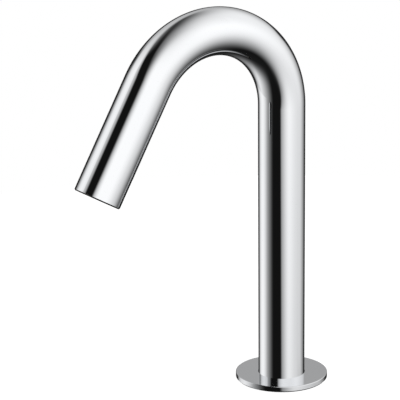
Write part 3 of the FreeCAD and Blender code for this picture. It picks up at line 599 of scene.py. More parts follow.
def settled(piece: Piece) -> Piece:
    """Makes the work of a piece's modifiers its own mesh.

    Args:
        piece: The piece, which is changed.

    Returns:
        The same piece, without modifiers.
    """
    mesh = worked_mesh(piece)
    piece.modifiers.clear()
    piece.data = mesh
    return piece


def cut(piece: Piece, tools: Iterable[Piece]) -> Piece:
    """Takes closed shapes out of a piece.

    Args:
        piece: The piece, which is changed.
        tools: What is taken out. The tools are used up.

    Returns:
        The same piece.
    """
    for tool in tools:
        modifier = piece.modifiers.new("cut", "BOOLEAN")
        modifier.operation, modifier.solver, modifier.object = "DIFFERENCE", "EXACT", tool
        settled(piece)
        bpy.data.objects.remove(tool)
    return piece


def smoothed(piece: Piece, sharp_over: float) -> Piece:
    """Shades a piece smooth and keeps its flats flat.

    Args:
        piece: The piece, which is changed.
        sharp_over: Edges that turn by more degrees than this stay sharp.

    Returns:
        The same piece.
    """
    mesh = piece.data
    mesh.polygons.foreach_set("use_smooth", [True] * len(mesh.polygons))
    mesh.set_sharp_from_angle(angle=math.radians(sharp_over))
    modifier = piece.modifiers.new("flats", "WEIGHTED_NORMAL")
    modifier.keep_sharp = True
    return settled(piece)


@dataclass(frozen=True)
class Thread:
    """A right-hand screw thread of a metric form.

    Its phase starts at a height, so that a nut and its screw mesh when both start at the same one.
    """

    pitch: float
    start: float
    form = ((0.0, 0.0), (0.3125, 1.0), (0.4375, 1.0), (0.75, 0.0))

    def depth_at(self, height: float, angle: float) -> float:
        """How far from its root the form stands at a place.

        Args:
            height: The place's height.
            angle: Its direction round the axis, in radians.

        Returns:
            A share from 0 at the root to 1 at the crest.
        """
        phase = ((height - self.start) / self.pitch - angle / TAU) % 1.0
        stops = (*self.form, (1.0, 0.0))
        for (low, depth_low), (high, depth_high) in zip(stops, stops[1:]):
            if phase <= high:
                return depth_low + (depth_high - depth_low) * (phase - low) / (high - low)
        return 0.0

    def wound(
        self, name: str, low: float, high: float, spots: Sequence[Spot], radius: ThreadRadius
    ) -> Piece:
        """The thread's open skin between two heights, ending in a plain ring at each.

        Args:
            name: The object's name.
            low: The lower height.
            high: The upper height.
            spots: The directions round the axis.
            radius: The thread's radius. At both ends it doesn't depend on the depth.

        Returns:
            The object, with its faces away from the axis.
        """
        first = math.floor((low - self.start) / self.pitch) - 1
        last = math.ceil((high - self.start) / self.pitch) + 1
        rows = []
        for turn in range(first, last):
            for phase, depth in self.form:
                row = []
                for spot in spots:
                    winding = self.start + self.pitch * (turn + phase + spot.angle / TAU)
                    z = min(max(winding, low), high)
                    r = radius(z, depth if z == winding else self.depth_at(z, spot.angle))
                    row.append(polar(r, spot.angle, z))
                rows.append(row)
        return joined(skin(name, rows, Ends.OPEN, step_up=len(self.form)))


# ------------------------------------------------------------------ finishes
class Lay(Enum):
    """The axis that a piece was turned, drawn or moulded about."""

    UPRIGHT = "upright"
    SPOUT = "spout"


class Axes:
    """Directions that the frame gives."""

    spout = Vector((0.0, 0.0, 1.0))

    @classmethod
    def of(cls, lay: Lay) -> Vector:
        """The unit vector of a lay."""
        return cls.spout if lay is Lay.SPOUT else Vector((0.0, 0.0, 1.0))


@dataclass(frozen=True)
class Finish:
    """What every finish has: a name, and a way to make its material."""

    name: str

    def paint(self, surface: Surface) -> None:
        """Sets up the surface's nodes."""
        raise NotImplementedError

    def material(self) -> bpy.types.Material:
        """Makes the finish's material, or finds it if it is there already.

        Returns:
            The material.
        """
        found = bpy.data.materials.get("finish_" + self.name)
        if found is not None:
            return found
        surface = Surface("finish_" + self.name)
        self.paint(surface)
        return surface.material


@dataclass(frozen=True)
class PolishedChrome(Finish):
    """Bright chrome plate over polished brass."""

    tint: Colour = (0.86, 0.865, 0.875)
    cool_tint: Colour = (0.83, 0.845, 0.865)
    # near-black, darker than bare brass: partly bare metal, partly painted shade at the tip's bore and
    # chamfer
    bare_and_painted_shade: Colour = (0.05, 0.046, 0.04)
    gloss: float = 0.03
    haze: float = 0.035
    bare_dullness: float = 0.4
    ripple: float = 9.0
    ripple_depth: float = 0.0035

    def bareness_and_painted_shade(self, surface: Surface) -> Wire | float:
        """How bare of plate the metal is, and so how much painted shade it gets, from 0 to 1."""
        return 0.0

    def paint(self, surface: Surface) -> None:
        """A slow ripple from buffing, and a haze of hairlines that only dulls the shine in places.

        Args:
            surface: The material's nodes.
        """
        bare = self.bareness_and_painted_shade(surface)
        drift = surface.noise(38.0, 1.0)
        hairlines = surface.noise(0.5, 2.0, stretch=(1.0, 1.0, 26.0), seed=4.0)
        dull = surface.noise(16.0, 3.0, seed=9.0).rise(0.45, 0.8)
        plate = surface.blend(drift, self.tint, self.cool_tint)
        surface.set(
            # where bare, painted shade: a near-black colour for the tip's bore and chamfer
            Base_Color=surface.blend(bare, plate, self.bare_and_painted_shade),
            Metallic=1.0,
            Roughness=self.gloss + self.haze * dull * hairlines + self.bare_dullness * bare,
        )
        surface.bump(surface.noise(self.ripple, 1.0, seed=2.0), self.ripple_depth)


@dataclass(frozen=True)
class ChromeTube(PolishedChrome):
    """Chrome plate on the outside of a tube, whose bore the plate doesn't reach. The bare bore and the tip's
    chamfer get a near-black colour: partly bare metal, partly painted shade for the dark line at the tube's
    end.
    """

    tip: Point = (0.0, 0.0, 0.0)
    bore: float = 11.9
    rim: float = 12.4
    chamfer: float = 0.59

    def bareness_and_painted_shade(self, surface: Surface) -> Wire | float:
        """Bare in the bore at the tip, as far in as the eye gets, and on the chamfer, which is cut last. Both
        are painted near-black: partly bare metal, partly painted shade.

        Args:
            surface: The material's nodes.

        Returns:
            How bare of plate the metal is, and so how much painted shade it gets, from 0 to 1.
        """
        height, radius = surface.round_axis(Axes.of(Lay.SPOUT), self.tip)
        inside = (radius < self.bore * MM) * (abs(height) < self.bore * MM)
        outer = self.rim + 2 * self.chamfer
        edge = (radius > self.rim * MM) * (radius < outer * MM) * (abs(height) < self.chamfer * MM)
        return inside + edge


@dataclass(frozen=True)
class TurnedMetal(Finish):
    """Metal with the fine rings that a lathe leaves, and with colour from handling or heat."""

    colour: Colour
    stained: Colour
    roughness: float = 0.24
    ring_pitch: float = 0.16
    ring_depth: float = 0.004
    lay: Lay = Lay.UPRIGHT
    centre: Point = (0.0, 0.0, 0.0)

    def paint(self, surface: Surface) -> None:
        """Rings follow the height on round sides and the radius on end faces.

        Args:
            surface: The material's nodes.
        """
        height, radius = surface.round_axis(Axes.of(self.lay), self.centre)
        wobble = surface.noise(2.4, 2.0) * (0.35 * self.ring_pitch * MM)
        rings = ((height + radius + wobble) * (TAU / (self.ring_pitch * MM))).sine() * 0.5 + 0.5
        stain = surface.noise(6.0, 4.0, seed=3.0).rise(0.4, 0.78)
        pits = surface.noise(0.35, 2.0, seed=7.0).rise(0.62, 0.9)
        surface.set(
            Base_Color=surface.blend(stain * 0.75 + pits * 0.25, self.colour, self.stained),
            Metallic=1.0,
            Roughness=self.roughness + 0.09 * rings + 0.14 * stain,
        )
        surface.bump(rings * 0.8 + pits * -0.2, self.ring_depth)


@dataclass(frozen=True)
class Rubber(Finish):
    """Moulded rubber with a fine grain and a pale bloom."""

    colour: Colour
    bloom: Colour
    grain: float = 0.22
    roughness: float = 0.62

    def paint(self, surface: Surface) -> None:
        """The bloom lies in soft patches, and the grain is finer than a millimetre.

        Args:
            surface: The material's nodes.
        """
        patches = surface.noise(5.0, 4.0).rise(0.42, 0.82)
        grain = surface.noise(self.grain, 2.0, seed=5.0)
        surface.set(
            Base_Color=surface.blend(patches * 0.6, self.colour, self.bloom),
            Roughness=self.roughness + 0.12 * patches + 0.08 * grain,
            Specular_IOR_Level=0.35,
        )
        surface.bump(grain, 0.02)


@dataclass(frozen=True)
class Moulding(Finish):
    """Injection-moulded plastic with the grain of its tool."""

    colour: Colour
    shade: Colour
    roughness: float = 0.38
    grain: float = 0.16
    grain_depth: float = 0.008
    inner_glow: float = 0.0
    coat: float = 0.0

    def paint(self, surface: Surface) -> None:
        """Eroded grain, flow streaks along the draw, and slow colour variation.

        Args:
            surface: The material's nodes.
        """
        grain = surface.noise(self.grain, 3.0)
        streaks = surface.noise(1.6, 2.0, stretch=(1.0, 1.0, 7.0), seed=6.0)
        drift = surface.noise(9.0, 2.0, seed=1.0)
        surface.set(
            Base_Color=surface.blend(drift * 0.6 + streaks * 0.4, self.colour, self.shade),
            Roughness=self.roughness + 0.1 * grain + 0.05 * streaks,
            Coat_Weight=self.coat,
            Subsurface_Weight=self.inner_glow,
            Subsurface_Scale=0.6 * MM,
        )
        surface.bump(grain, self.grain_depth)


@dataclass(frozen=True)
class ClearResin(Finish):
    """Cast resin that light passes through."""

    colour: Colour
    shade: Colour
    clearness: float
    roughness: float = 0.05

    def paint(self, surface: Surface) -> None:
        """Faint cloud inside, and a skin with a slow swell.

        Args:
            surface: The material's nodes.
        """
        cloud = surface.noise(1.2, 3.0)
        surface.set(
            Base_Color=surface.blend(cloud, self.colour, self.shade),
            Roughness=self.roughness + 0.06 * cloud,
            Transmission_Weight=self.clearness,
            IOR=1.5,
        )
        surface.bump(surface.noise(2.5, 1.0, seed=8.0), 0.004)


@dataclass(frozen=True)
class CircuitMask(Finish):
    """A circuit board's solder mask over its tracks."""

    mask: Colour = (0.012, 0.11, 0.045)
    over_track: Colour = (0.03, 0.2, 0.08)
    track_pitch: float = 0.8
    track_length: float = 5.1

    def paint(self, surface: Surface) -> None:
        """Tracks run along the spout, with steps where a coarse noise moves them sideways.

        Args:
            surface: The material's nodes.
        """
        along = surface.along(surface.place, Axes.of(Lay.SPOUT))
        side = surface.part(surface.place, "X")
        jog = (surface.noise(3.0, 0.0) * 4.0).maths("ROUND") * (0.25 * self.track_pitch * MM)
        run = ((side + jog) * (TAU / (self.track_pitch * MM))).sine()
        track = run.rise(0.1, 0.35) * ((along * (TAU / (self.track_length * MM))).sine() > -0.8)
        weave = surface.noise(0.3, 2.0, seed=2.0)
        surface.set(
            Base_Color=surface.blend(track, self.mask, self.over_track),
            Roughness=0.22 + 0.1 * weave,
            Coat_Weight=0.3,
        )
        surface.bump(track * 0.7 + weave * 0.3, 0.03)


# A darker copy of the tube's chrome, with a tint of about 0.75 against 0.86: painted shade that darkens the
# flange's top face.
SHADED_FLANGE_CHROME = PolishedChrome("polished_chrome_flange_painted_shade", (0.75, 0.755, 0.765), (0.72, 0.73, 0.75), gloss=0.04)
BRASS = TurnedMetal("brass", (0.74, 0.5, 0.19), (0.42, 0.25, 0.09), 0.2)
STEEL = TurnedMetal("stainless_steel", (0.56, 0.57, 0.58), (0.4, 0.4, 0.4), 0.22, ring_depth=0.003)

FINISHES = {
    finish.name: finish
    for finish in (
        BRASS,
        STEEL,
        TurnedMetal("nickel_plate", (0.62, 0.6, 0.56), (0.46, 0.43, 0.38), 0.12, ring_depth=0.0015),
        TurnedMetal("blackened_steel", (0.06, 0.06, 0.065), (0.1, 0.085, 0.07), 0.4, ring_pitch=0.3),
        Rubber("black_rubber", (0.014, 0.014, 0.015), (0.06, 0.06, 0.058)),
        Rubber("red_rubber", (0.32, 0.03, 0.02), (0.42, 0.12, 0.09)),
        Moulding("black_plastic", (0.018, 0.018, 0.02), (0.03, 0.03, 0.033)),
        Moulding("grey_plastic", (0.27, 0.28, 0.29), (0.21, 0.22, 0.23), 0.34),
        Moulding("white_plastic", (0.76, 0.76, 0.73), (0.7, 0.69, 0.65), 0.26, inner_glow=0.25),
        Moulding("blue_plastic", (0.03, 0.12, 0.36), (0.025, 0.09, 0.28), 0.28, inner_glow=0.1),
        Moulding("hose_plastic", (0.6, 0.64, 0.68), (0.5, 0.55, 0.6), 0.2, inner_glow=0.35),
        Moulding("lead_sheath", (0.02, 0.02, 0.022), (0.034, 0.034, 0.036), 0.46),
        Moulding("chip_plastic", (0.022, 0.022, 0.022), (0.035, 0.034, 0.032), 0.52, grain=0.08),
        Moulding("dark_window", (0.012, 0.004, 0.006), (0.02, 0.005, 0.008), 0.05, 1.4, 0.002, coat=0.6),
        ClearResin("clear_lens", (0.86, 0.9, 0.96), (0.8, 0.85, 0.95), 0.85),
        ClearResin("dark_lens", (0.04, 0.04, 0.07), (0.02, 0.02, 0.04), 0.3),
        CircuitMask("circuit_board"),
    )
}


# ------------------------------------------------------------------ studio
@dataclass(frozen=True)
class Panel:
    """A soft box or a flag far away, seen as a rectangle with soft edges.

    Angles are in degrees: azimuth from the camera, positive to the right of the picture, elevation above
    the horizon, roll, and the width and height. Softness is in half-angle tangents.
    """

    name: str
    azimuth: float
    elevation: float
    roll: float
    width: float
    height: float
    soft_sides: float
    soft_ends: float
    level: float

    def over(self, sheet: Sheet, direction: Wire, below: Wire | float, facing: float) -> Wire:
        """Lays this panel over what is seen behind it.

        Args:
            sheet: The world's node tree.
            direction: Where the ray goes.
            below: The brightness behind the panel.
            facing: The camera's azimuth in the frame, in degrees.

        Returns:
            The brightness with the panel.
        """
        turn = Matrix.Rotation(math.radians(facing), 3, "Z")
        azimuth, elevation, roll = (math.radians(a) for a in (self.azimuth, self.elevation, self.roll))
        pose = turn @ Matrix.Rotation(azimuth, 3, "Z") @ Matrix.Rotation(-elevation, 3, "X")
        across, away, upward = pose.transposed()
        side = across * math.cos(roll) + upward * math.sin(roll)
        rise = upward * math.cos(roll) - across * math.sin(roll)
        just_over_one = 1.001  # so the ray that goes straight away from the panel isn't divided by 0
        depth = sheet.along(direction, -away) + just_over_one
        mask: Wire | float = 1.0
        for way, size, soft in ((side, self.width, self.soft_sides), (rise, self.height, self.soft_ends)):
            half = math.tan(math.radians(size) / 2)
            off = abs(sheet.along(direction, way)) / depth
            mask = (1 - off.rise(half - soft / 2, half + soft / 2)) * mask
        return below * (1 - mask) + self.level * mask


@dataclass
class Studio:
    """The camera, the lights as the chrome sees them, and the pale deck."""

    facing: float = 53.79
    distance: float = 1194.3
    height: float = 455.5
    pitch: float = 16.38
    turn: float = 2.17
    roll: float = -0.57
    film: float = 36.0
    lens: float = 201.96
    clip: tuple[float, float] = (0.05, 20.0)
    gain: float = 1.16
    darkest: float = 0.006
    deck_radius: float = 420.0
    deck_glow: float = 0.93
    deck_chalk: float = 0.3

    panels = (
        Panel("grey wall behind", 186.0, 22.3, -4.6, 93.6, 50.0, 0.56, 0.04, 0.50),
        Panel("dark ceiling", 27.9, 96.7, 23.8, 35.5, 31.9, 0.28, 0.13, 0.0),
        Panel("left soft box", -104.6, -9.9, -10.9, 19.1, 62.1, 0.89, 0.49, 1.04),
        Panel("right soft box", 74.3, 23.6, -7.7, 44.9, 53.3, 0.79, 1.05, 1.05),
        Panel("front soft box", 26.5, 11.7, -33.4, 39.1, 32.2, 0.39, 0.50, 0.98),
        Panel("left edge flag", -144.9, -9.9, -17.0, 8.6, 36.0, 0.28, 0.15, 0.0),
        Panel("right edge flag", 148.9, -21.9, 53.6, 32.6, 22.7, 1.13, 0.52, 0.005),
        Panel("dark floor behind", -94.7, -83.0, -3.9, 29.4, 10.3, 0.67, 0.54, 0.014),
        Panel("black flag", -33.4, 14.0, 24.7, 16.3, 66.8, 0.08, 0.43, 0.006),
        Panel("upper right fill", 121.7, 40.6, -8.0, 26.0, 21.7, 0.59, 0.60, 0.88),
        Panel("dark corner behind", 178.0, -15.0, 0.0, 36.0, 26.0, 0.15, 0.05, 0.02),
        Panel("dark corner behind, left", -157.0, 2.0, 0.0, 18.0, 15.0, 0.06, 0.08, 0.02),
    )

    def set_camera(self) -> None:
        """Puts the camera where the photograph was taken from."""
        camera = bpy.data.objects.new("camera", bpy.data.cameras.new("camera"))
        bpy.context.scene.collection.objects.link(camera)
        camera.data.sensor_width, camera.data.lens = self.film, self.lens
        camera.data.clip_start, camera.data.clip_end = self.clip
        facing = math.radians(self.facing)
        place = Vector((math.sin(facing), -math.cos(facing), 0)) * self.distance + Vector((0, 0, self.height))
        pose = Matrix.Translation(place * MM)
        for angle, axis in ((self.facing + self.turn, "Z"), (90 - self.pitch, "X"), (self.roll, "Z")):
            pose = pose @ Matrix.Rotation(math.radians(angle), 4, axis)
        camera.matrix_world = pose
        bpy.context.scene.camera = camera

    def light(self) -> None:
        """Surrounds the tap with soft boxes and flags, and shows plain white to the camera itself."""
        world = bpy.data.worlds.new("studio")
        bpy.context.scene.world = world
        world.use_nodes = True
        sheet = Sheet(world.node_tree)
        direction = sheet.add("ShaderNodeTexCoord", output="Generated")
        level: Wire | float = self.darkest
        for panel in self.panels:
            level = panel.over(sheet, direction, level, self.facing)
        seen = sheet.add("ShaderNodeLightPath", output="Is Camera Ray")
        strength = seen + (1 - seen) * level * self.gain
        light = sheet.add("ShaderNodeBackground", {"Color": (1.0, 1.0, 1.0), "Strength": strength})
        sheet.end("ShaderNodeOutputWorld", light)
        bpy.context.scene.view_settings.view_transform = "Standard"

    def lay_deck(self) -> None:
        """Lays the pale deck, which shows from above only, so that the fixing can be seen from below."""
        disc = shell("deck", [(0.0, 0.0), (self.deck_radius, 0.0)], round_spots(Sides.PLAIN), Ends.OPEN)
        deck = flipped(joined(disc))
        material = bpy.data.materials.new("pale_deck")
        material.use_nodes = True
        sheet = Sheet(material.node_tree)
        glow = sheet.add("ShaderNodeEmission", {"Color": (1.0, 1.0, 1.0), "Strength": self.deck_glow})
        chalk = sheet.add("ShaderNodeBsdfDiffuse", {"Color": (self.deck_chalk,) * 3})
        top = sheet.add("ShaderNodeAddShader", {0: glow, 1: chalk})
        behind = sheet.add("ShaderNodeNewGeometry", output="Backfacing")
        clear = sheet.add("ShaderNodeBsdfTransparent")
        both = sheet.add("ShaderNodeMixShader", {"Fac": behind, 1: top, 2: clear})
        sheet.end("ShaderNodeOutputMaterial", both)
        deck.data.materials.append(material)
        deck.visible_glossy = False


# ------------------------------------------------------------------ the tap
@dataclass(frozen=True)
class Place:
    """Where a turned piece stands: upright beside the Z axis, or in the tip's own frame."""

    y: float = 0.0
    at_tip: bool = False


@dataclass
class Gooseneck:
    """The line of the spout: a column, one arc and a straight run, in the YZ plane."""

    column: float = 159.0
    bend_radius: float = 46.5
    tilt: float = 30.0
    straight: float = 66.0

    @property
    def turn(self) -> float:
        """The arc's angle in radians."""
        return math.radians(180 - self.tilt)

    @property
    def arc(self) -> float:
        """The arc's length."""
        return self.bend_radius * self.turn

    @property
    def length(self) -> float:
        """The whole line's length from the deck."""
        return self.column + self.arc + self.straight

    def tip_frame(self) -> Matrix:
        """The tip's own frame: +Z up the tube and +Y to its underside.

        Returns:
            The frame as a matrix, in metres.
        """
        tilt = math.radians(self.tilt)
        y = -self.bend_radius * (1 + math.cos(tilt)) - self.straight * math.sin(tilt)
        z = self.column + self.bend_radius * math.sin(tilt) - self.straight * math.cos(tilt)
        return Matrix.Translation(Vector((0, y, z)) * MM) @ Matrix.Rotation(-tilt, 4, "X")

    def put(self, piece: Piece, place: Place) -> Piece:
        """Moves a piece's mesh to its place.

        Args:
            piece: The piece, whose object stays where it is.
            place: Where it stands.

        Returns:
            The same piece.
        """
        aside = Matrix.Translation((0, place.y * MM, 0))
        piece.data.transform(self.tip_frame() @ aside if place.at_tip else aside)
        return piece

    def bender(self) -> Pattern:
        """Lays a straight upright tube along the line: its height becomes the way along it.

        Returns:
            The tree that does so.
        """
        tree = Pattern("gooseneck_rule")
        column, radius, turn = tree.size("Column"), tree.size("Bend Radius"), tree.size("Turn")
        place = tree.add("GeometryNodeInputPosition")
        x, off, way = (tree.part(place, axis) for axis in "XYZ")
        past_column = way - column
        angle = (past_column / radius).between(0.0, turn)
        past_bend = (past_column - radius * turn).maths("MAXIMUM", 0.0)
        up = way.maths("MINIMUM", column) + radius * angle.sine() + past_bend * angle.cosine()
        out = radius * (angle.cosine() - 1) - past_bend * angle.sine()
        bent = tree.vector(x, out + off * angle.cosine(), up + off * angle.sine())
        tree.finish(tree.add("GeometryNodeSetPosition", {"Geometry": tree.given, "Position": bent}))
        return tree


@dataclass
class Workshop:
    """What every sub-assembly needs: the frame, the spout's line, and a way to hand pieces over."""

    frame: dict[str, object]
    neck: Gooseneck
    slots: dict[str, str] = field(init=False)
    body_of: dict[str, str] = field(init=False)

    def __post_init__(self) -> None:
        """Looks up each node's material slot and body."""
        record = self.frame["record"]
        self.slots = {part["node"]: part["material_slot"] for part in record["subparts"]}
        bodies = record["behaviour"]["bodies"]
        self.body_of = {node: body for body, nodes in bodies.items() for node in nodes}

    def keep(self, *kept: str, finish: Finish | None = None) -> None:
        """Gives CAD nodes a finish and leaves their shape.

        Args:
            kept: The nodes' names.
            finish: Their finish, if it isn't their slots' own.
        """
        for node in kept:
            slot = self.slots[node]
            material = (finish or FINISHES[slot]).material()
            for place in self.frame["nodes"][node].material_slots:
                place.material = material
            log.info("%s: the CAD's own shape, in %s", node, slot)

    def stand_for(
        self,
        node: str,
        piece: Piece,
        place: Place = Place(),
        sharp_over: float = 30.0,
        finish: Finish | None = None,
    ) -> Piece:
        """Finishes a piece that stands for a CAD node, and hands it over.

        Args:
            node: The CAD node that it stands for.
            piece: Its mesh, upright on the Z axis or, for the tube, where it belongs.
            place: Where it stands.
            sharp_over: Its edges that turn by more degrees than this stay sharp.
            finish: Its finish, if it isn't its slot's own.

        Returns:
            The piece.
        """
        self.neck.put(smoothed(piece, sharp_over), place)
        slot = self.slots[node]
        piece.data.materials.clear()
        piece.data.materials.append((finish or FINISHES[slot]).material())
        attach(piece, self.body_of[node])
        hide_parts(node)
        log.info("%s: %d faces, in %s", piece.name, len(piece.data.polygons), slot)
        return piece

    def turn_piece(
        self,
        node: str,
        corners: Sequence[Corner],
        ease: float = 0.12,
        place: Place = Place(),
        sides: Sides = Sides.PLAIN,
        finish: Finish | None = None,
    ) -> Piece:
        """Makes a plain turned piece and hands it over.

        Args:
            node: The CAD node that it stands for.
            corners: The closed (radius, height) profile, anticlockwise with the axis on its left.
            ease: How much its edges are broken.
            place: Where it stands.
            sides: How many sides its circles have.
            finish: Its finish, if it isn't its slot's own.

        Returns:
            The piece.
        """
        return self.stand_for(node, turned("real_" + node, eased(corners, ease), sides), place, finish=finish)

    def cord_ring(
        self, node: str, middle: float, section: float, heights: Sequence[float], place: Place
    ) -> None:
        """Makes one or more round rubber rings of one node and hands them over.

        Args:
            node: The CAD node that they stand for.
            middle: The radius of the rings' middle line.
            section: The rubber's thickness.
            heights: Each ring's height.
            place: Where they stand.
        """
        rings = []
        for height in heights:
            points = [polar(section / 2, spot.angle, height) for spot in round_spots(Sides.CORD)]
            rows = [(middle + across, height + up) for across, up, _ in points]
            rings.append(shell("real_" + node, rows, round_spots(Sides.SEAL)))
        self.stand_for(node, joined(rings[0], rings[1:]), place)


@dataclass
class Spout:
    """The bent tube and the flange that it stands in, with the flange's gasket."""

    shop: Workshop
    radius: float = 13.0
    wall: float = 1.2
    foot: float = 2.2
    tip_chamfer: float = 0.6
    bore_chamfer: float = 0.1
    screw_hole: float = 1.6
    screw_height: float = 18.5
    screw_drill: tuple[float, float] = (6.5, 19.5)  # from and to, off the tube's axis
    column_rows: int = 6
    bend_rows: int = 120
    last_row: float = 4.0
    screw_row: float = 0.8
    flange_radius: float = 25.8
    flange_thickness: float = 3.4
    flange_bore: float = 11.85
    groove: tuple[float, float, float] = (16.8, 20.8, 1.2)  # inner and outer radius, and depth
    rim_ease: float = 0.4
    rim_flat: float = 0.3
    foot_ease: float = 0.8
    seat_gap: float = 0.06
    seat_chamfer: tuple[float, float] = (0.12, 0.1)  # across and down
    gasket_gap: float = 0.05

    def straight_tube(self) -> Piece:
        """Makes the tube unbent, closer ruled where it will bend and round the screw's hole.

        Returns:
            The tube, upright on the Z axis.
        """
        neck, bore, edge = self.shop.neck, self.radius - self.wall, self.bore_chamfer
        count = self.column_rows
        column = [self.foot + (neck.column - self.foot) * step / count for step in range(count)]
        bend = [neck.column + neck.arc * step / self.bend_rows for step in range(self.bend_rows + 1)]
        straight = [bend[-1] + neck.straight * share for share in (0.25, 0.5)] + [neck.length - self.last_row]
        screw = [neck.length - self.screw_height + self.screw_row * step for step in range(-3, 4)]
        rows = sorted(column + bend + straight + screw)
        tip = [(self.radius, neck.length - self.tip_chamfer), (self.radius - self.tip_chamfer, neck.length)]
        tip += [(bore + edge, neck.length), (bore, neck.length - edge)]
        inner = [(bore, row) for row in rows[::-2]] + [(bore, self.foot)]
        return turned("straight_tube", [(self.radius, row) for row in rows] + tip + inner, Sides.TUBE)

    def build_tube(self) -> None:
        """Bends the tube and drills the hole for the screw that holds the outlet."""
        neck = self.shop.neck
        finish = ChromeTube(
            "polished_chrome_tube",
            tip=tuple(c / MM for c in neck.tip_frame().translation),
            bore=self.radius - self.wall + self.bore_chamfer,
            rim=self.radius - self.tip_chamfer,
            chamfer=self.tip_chamfer - 0.01,
        )
        values = {"Column": neck.column * MM, "Bend Radius": neck.bend_radius * MM, "Turn": neck.turn}
        values["Finish"] = finish.material()
        tube = neck.bender().grow("real_spout_tube", self.straight_tube(), **values)
        drill = turned("drill", band(0, self.screw_hole, *self.screw_drill), Sides.SCREW)
        to_screw = Matrix.Translation((0, 0, self.screw_height * MM))
        drill.data.transform(neck.tip_frame() @ to_screw @ SIDEWAYS)
        self.shop.stand_for("spout_tube", cut(tube, [drill]), finish=finish)

    def build_flange(self) -> None:
        """Turns the flange, with its rim eased, and the gasket in its groove."""
        inner, outer, depth = self.groove
        r, top, ease = self.flange_radius, self.flange_thickness, self.rim_ease
        seat, (across, down) = self.radius + self.seat_gap, self.seat_chamfer
        rim = [point for point in eased(band(0.0, r, 0.0, top), ease, steps=5) if point[0] > r - ease - SEAM]
        profile = [(self.flange_bore, 0.0), (inner, 0.0), (inner, depth), (outer, depth), (outer, 0.0)]
        profile += [(r - self.foot_ease, 0.0), (r, self.foot_ease)]
        profile += [point for point in rim if point[1] > top / 2] + [(r - ease - self.rim_flat, top)]
        profile += [(seat + across, top), (seat, top - down)]
        profile += [(seat, self.foot), (self.flange_bore, self.foot)]
        flange = turned("real_base_flange", profile, Sides.FLANGE)
        gasket = band(inner + self.gasket_gap, outer - self.gasket_gap, 0.0, depth - self.gasket_gap)
        # Neither shows in the tube's shine, whose bands run unbroken down to its foot.
        self.shop.stand_for("base_flange", flange, finish=SHADED_FLANGE_CHROME).visible_glossy = False
        self.shop.turn_piece("flange_gasket", gasket, ease=0.25, sides=Sides.WIDE).visible_glossy = False

    def build(self) -> None:
        """Makes the sub-assembly."""
        self.build_tube()
        self.build_flange()


